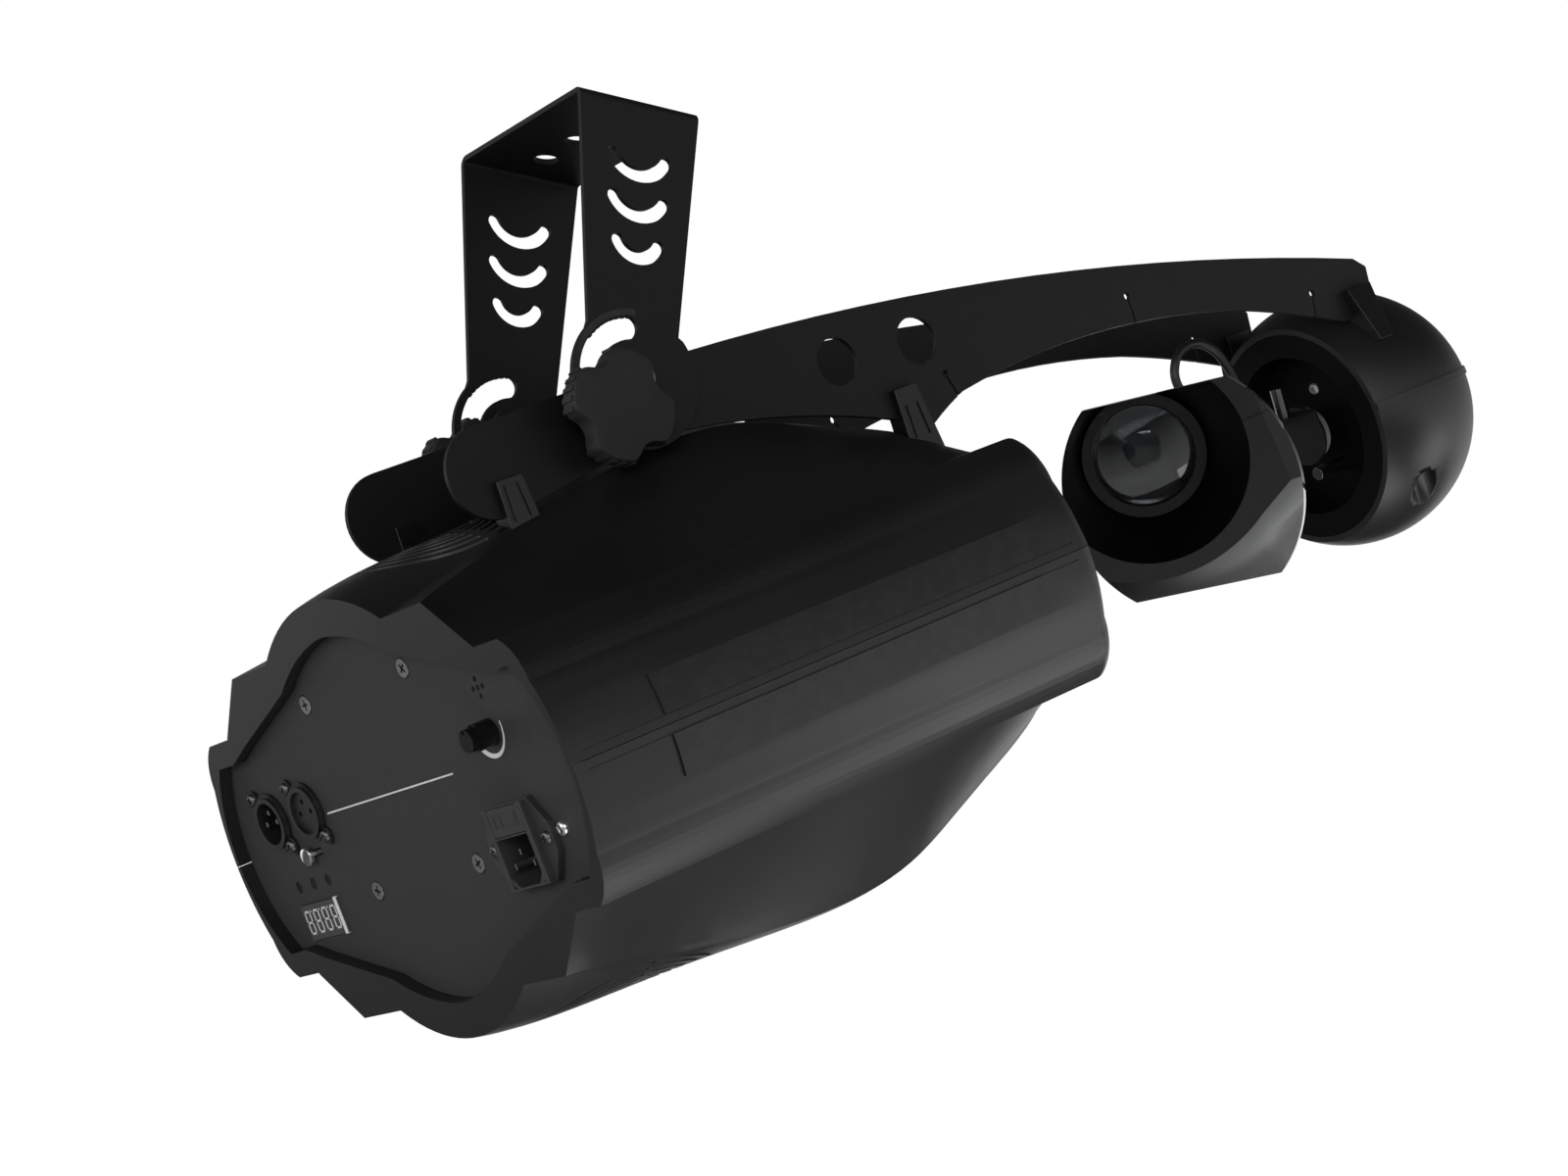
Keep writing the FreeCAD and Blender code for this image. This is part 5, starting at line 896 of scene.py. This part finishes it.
def star_knob(name, place, body, node):
    """Moulded star on a round hub; z = 0 is its face and z grows towards the bracket."""
    outline = star_outline()
    rings = [(0.0, 0.6), (0.0, 0.93), (0.35, 0.985), (1.1, 1.0), (9.6, 1.0), (10.5, 0.96),
             (KNOB_BACK, 0.9)]
    mesh = bmesh.new()
    loops = [[mesh.verts.new((radius * inset * cos(2 * pi * step / KNOB_STEPS),
                              radius * inset * sin(2 * pi * step / KNOB_STEPS), height))
              for step, radius in enumerate(outline)] for height, inset in rings]
    for height in (KNOB_BACK, HUB_BACK):
        loops.append([mesh.verts.new((HUB_RADIUS * cos(2 * pi * step / KNOB_STEPS),
                                      HUB_RADIUS * sin(2 * pi * step / KNOB_STEPS), height))
                      for step in range(KNOB_STEPS)])
    for first, second in zip(loops, loops[1:]):
        for step in range(KNOB_STEPS):
            after = (step + 1) % KNOB_STEPS
            mesh.faces.new((first[step], first[after], second[after], second[step]))
    mesh.faces.new(loops[0])
    mesh.faces.new(loops[-1])
    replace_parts(add_solid(name, mesh, place, KNOB, body), node)


STUD = (-19.94, -9.30)
KNOB_FACE = 68.1
RIB = {"Length": 2.2, "Width": 2.1, "Height": 7.6}
RIB_STEP, RIB_REACH = 10.4, KNOB_RADIUS - 0.45
ribs = []
for lobe in range(4):
    for rib in range(5):
        angle = KNOB_TURN + 90 * lobe + RIB_STEP * (rib - 2)
        ribs.append((RIB_REACH * cos(radians(angle)), RIB_REACH * sin(radians(angle)), 2.0, angle))
for side, label in ((-1, "near"), (1, "far")):
    # Local z runs inwards, to the bracket; x keeps the lamp's x and y its height.
    axes = Matrix(((1, 0, 0, STUD[0]), (0, 0, -side, side * KNOB_FACE), (0, 1, 0, STUD[1]),
                   (0, 0, 0, 1)))
    star_knob("star_knob_" + label, LAMP @ axes, "knob_" + label, "clamp_knob_" + label)
    grow("knob_ribs_" + label, ribs, BARS, RIB, LAMP @ axes, KNOB, "knob_" + label)

# %% [markdown]
# ## The scale on the bracket's legs
#
# A paler band round the outer side of each leg's slot is a painted highlight, standing in
# for the light that a raised lip there would catch, and the slot's edge has fine teeth that
# show the tilt. The band is the band tree, too thin for the washer to meet, and the teeth
# are bars that point at the pivot.

# %% Lip and teeth
LEG_FACE, PIVOT_LEVEL = 52.6, -124.0
LIP = {"Radius": 28.7, "Start": 92.0, "Sweep": 112.0, "First width": 2.6, "Last width": 3.2,
       "Thickness": 0.15}
TOOTH = {"Length": 1.3, "Width": 1.6, "Height": 2.1}
TOOTH_AT, TOOTH_FOOT = 26.9, -2.0
teeth = [(TOOTH_AT * cos(radians(angle)), TOOTH_AT * sin(radians(angle)), TOOTH_FOOT, angle)
         for angle in range(98, 150, 6)]
for side, label in ((-1, "near"), (1, "far")):
    # Outward z keeps the frame right-handed: the far leg sees the arc from its back.
    turn = Matrix(((-side, 0, 0, 0), (0, 0, side, side * LEG_FACE), (0, 1, 0, PIVOT_LEVEL),
                   (0, 0, 0, 1)))
    flip = 1 if side < 0 else -1
    sizes = LIP if side < 0 else dict(LIP, Start=180 - LIP["Start"] - LIP["Sweep"])
    spots = [(flip * x, y, z, angle if side < 0 else 180 - angle) for x, y, z, angle in teeth]
    # The paler band is painted highlight, where a raised lip round the slot would catch light.
    grow("slot_lip_highlight_" + label, [], BANDS, sizes, SHRINK @ turn, LIP_HIGHLIGHT_COAT, "bracket")
    grow("slot_teeth_" + label, spots, BARS, TOOTH, SHRINK @ turn, POWDER_COAT, "bracket")

# %% [markdown]
# ## Ridges on the arm clips
#
# The plastic clips that hold the arms to the housing have two upright ridges on their
# outer face, which a thumb presses. The box of each clip gives the place, and the ridges
# lean with the clip's tapering sides.

# %% Clip ridges
CLIP_FACE, RIDGE_OFFSET, RIDGE_LEAN = 48.85, 3.6, 3
RIDGE = {"Length": 15.0, "Width": 1.3, "Height": 0.7}
for side, label in ((-1, "near"), (1, "far")):
    spots = []
    for low, high in loose_boxes("arm_clips", LAMP.inverted()):
        if (low.y + high.y) * side > 0:
            middle, height = (low.x + high.x) / 2, (low.z + high.z) / 2
            for hand in (-1, 1):
                spots.append((middle + RIDGE_OFFSET * hand, -side * height, 0.0,
                              90 - RIDGE_LEAN * hand * side))
    outward = Matrix(((1, 0, 0, 0), (0, 0, side, side * CLIP_FACE), (0, -side, 0, 0),
                      (0, 0, 0, 1)))
    grow("clip_ridges_" + label, spots, BARS, RIDGE, LAMP @ outward, CLIP, "lamp")
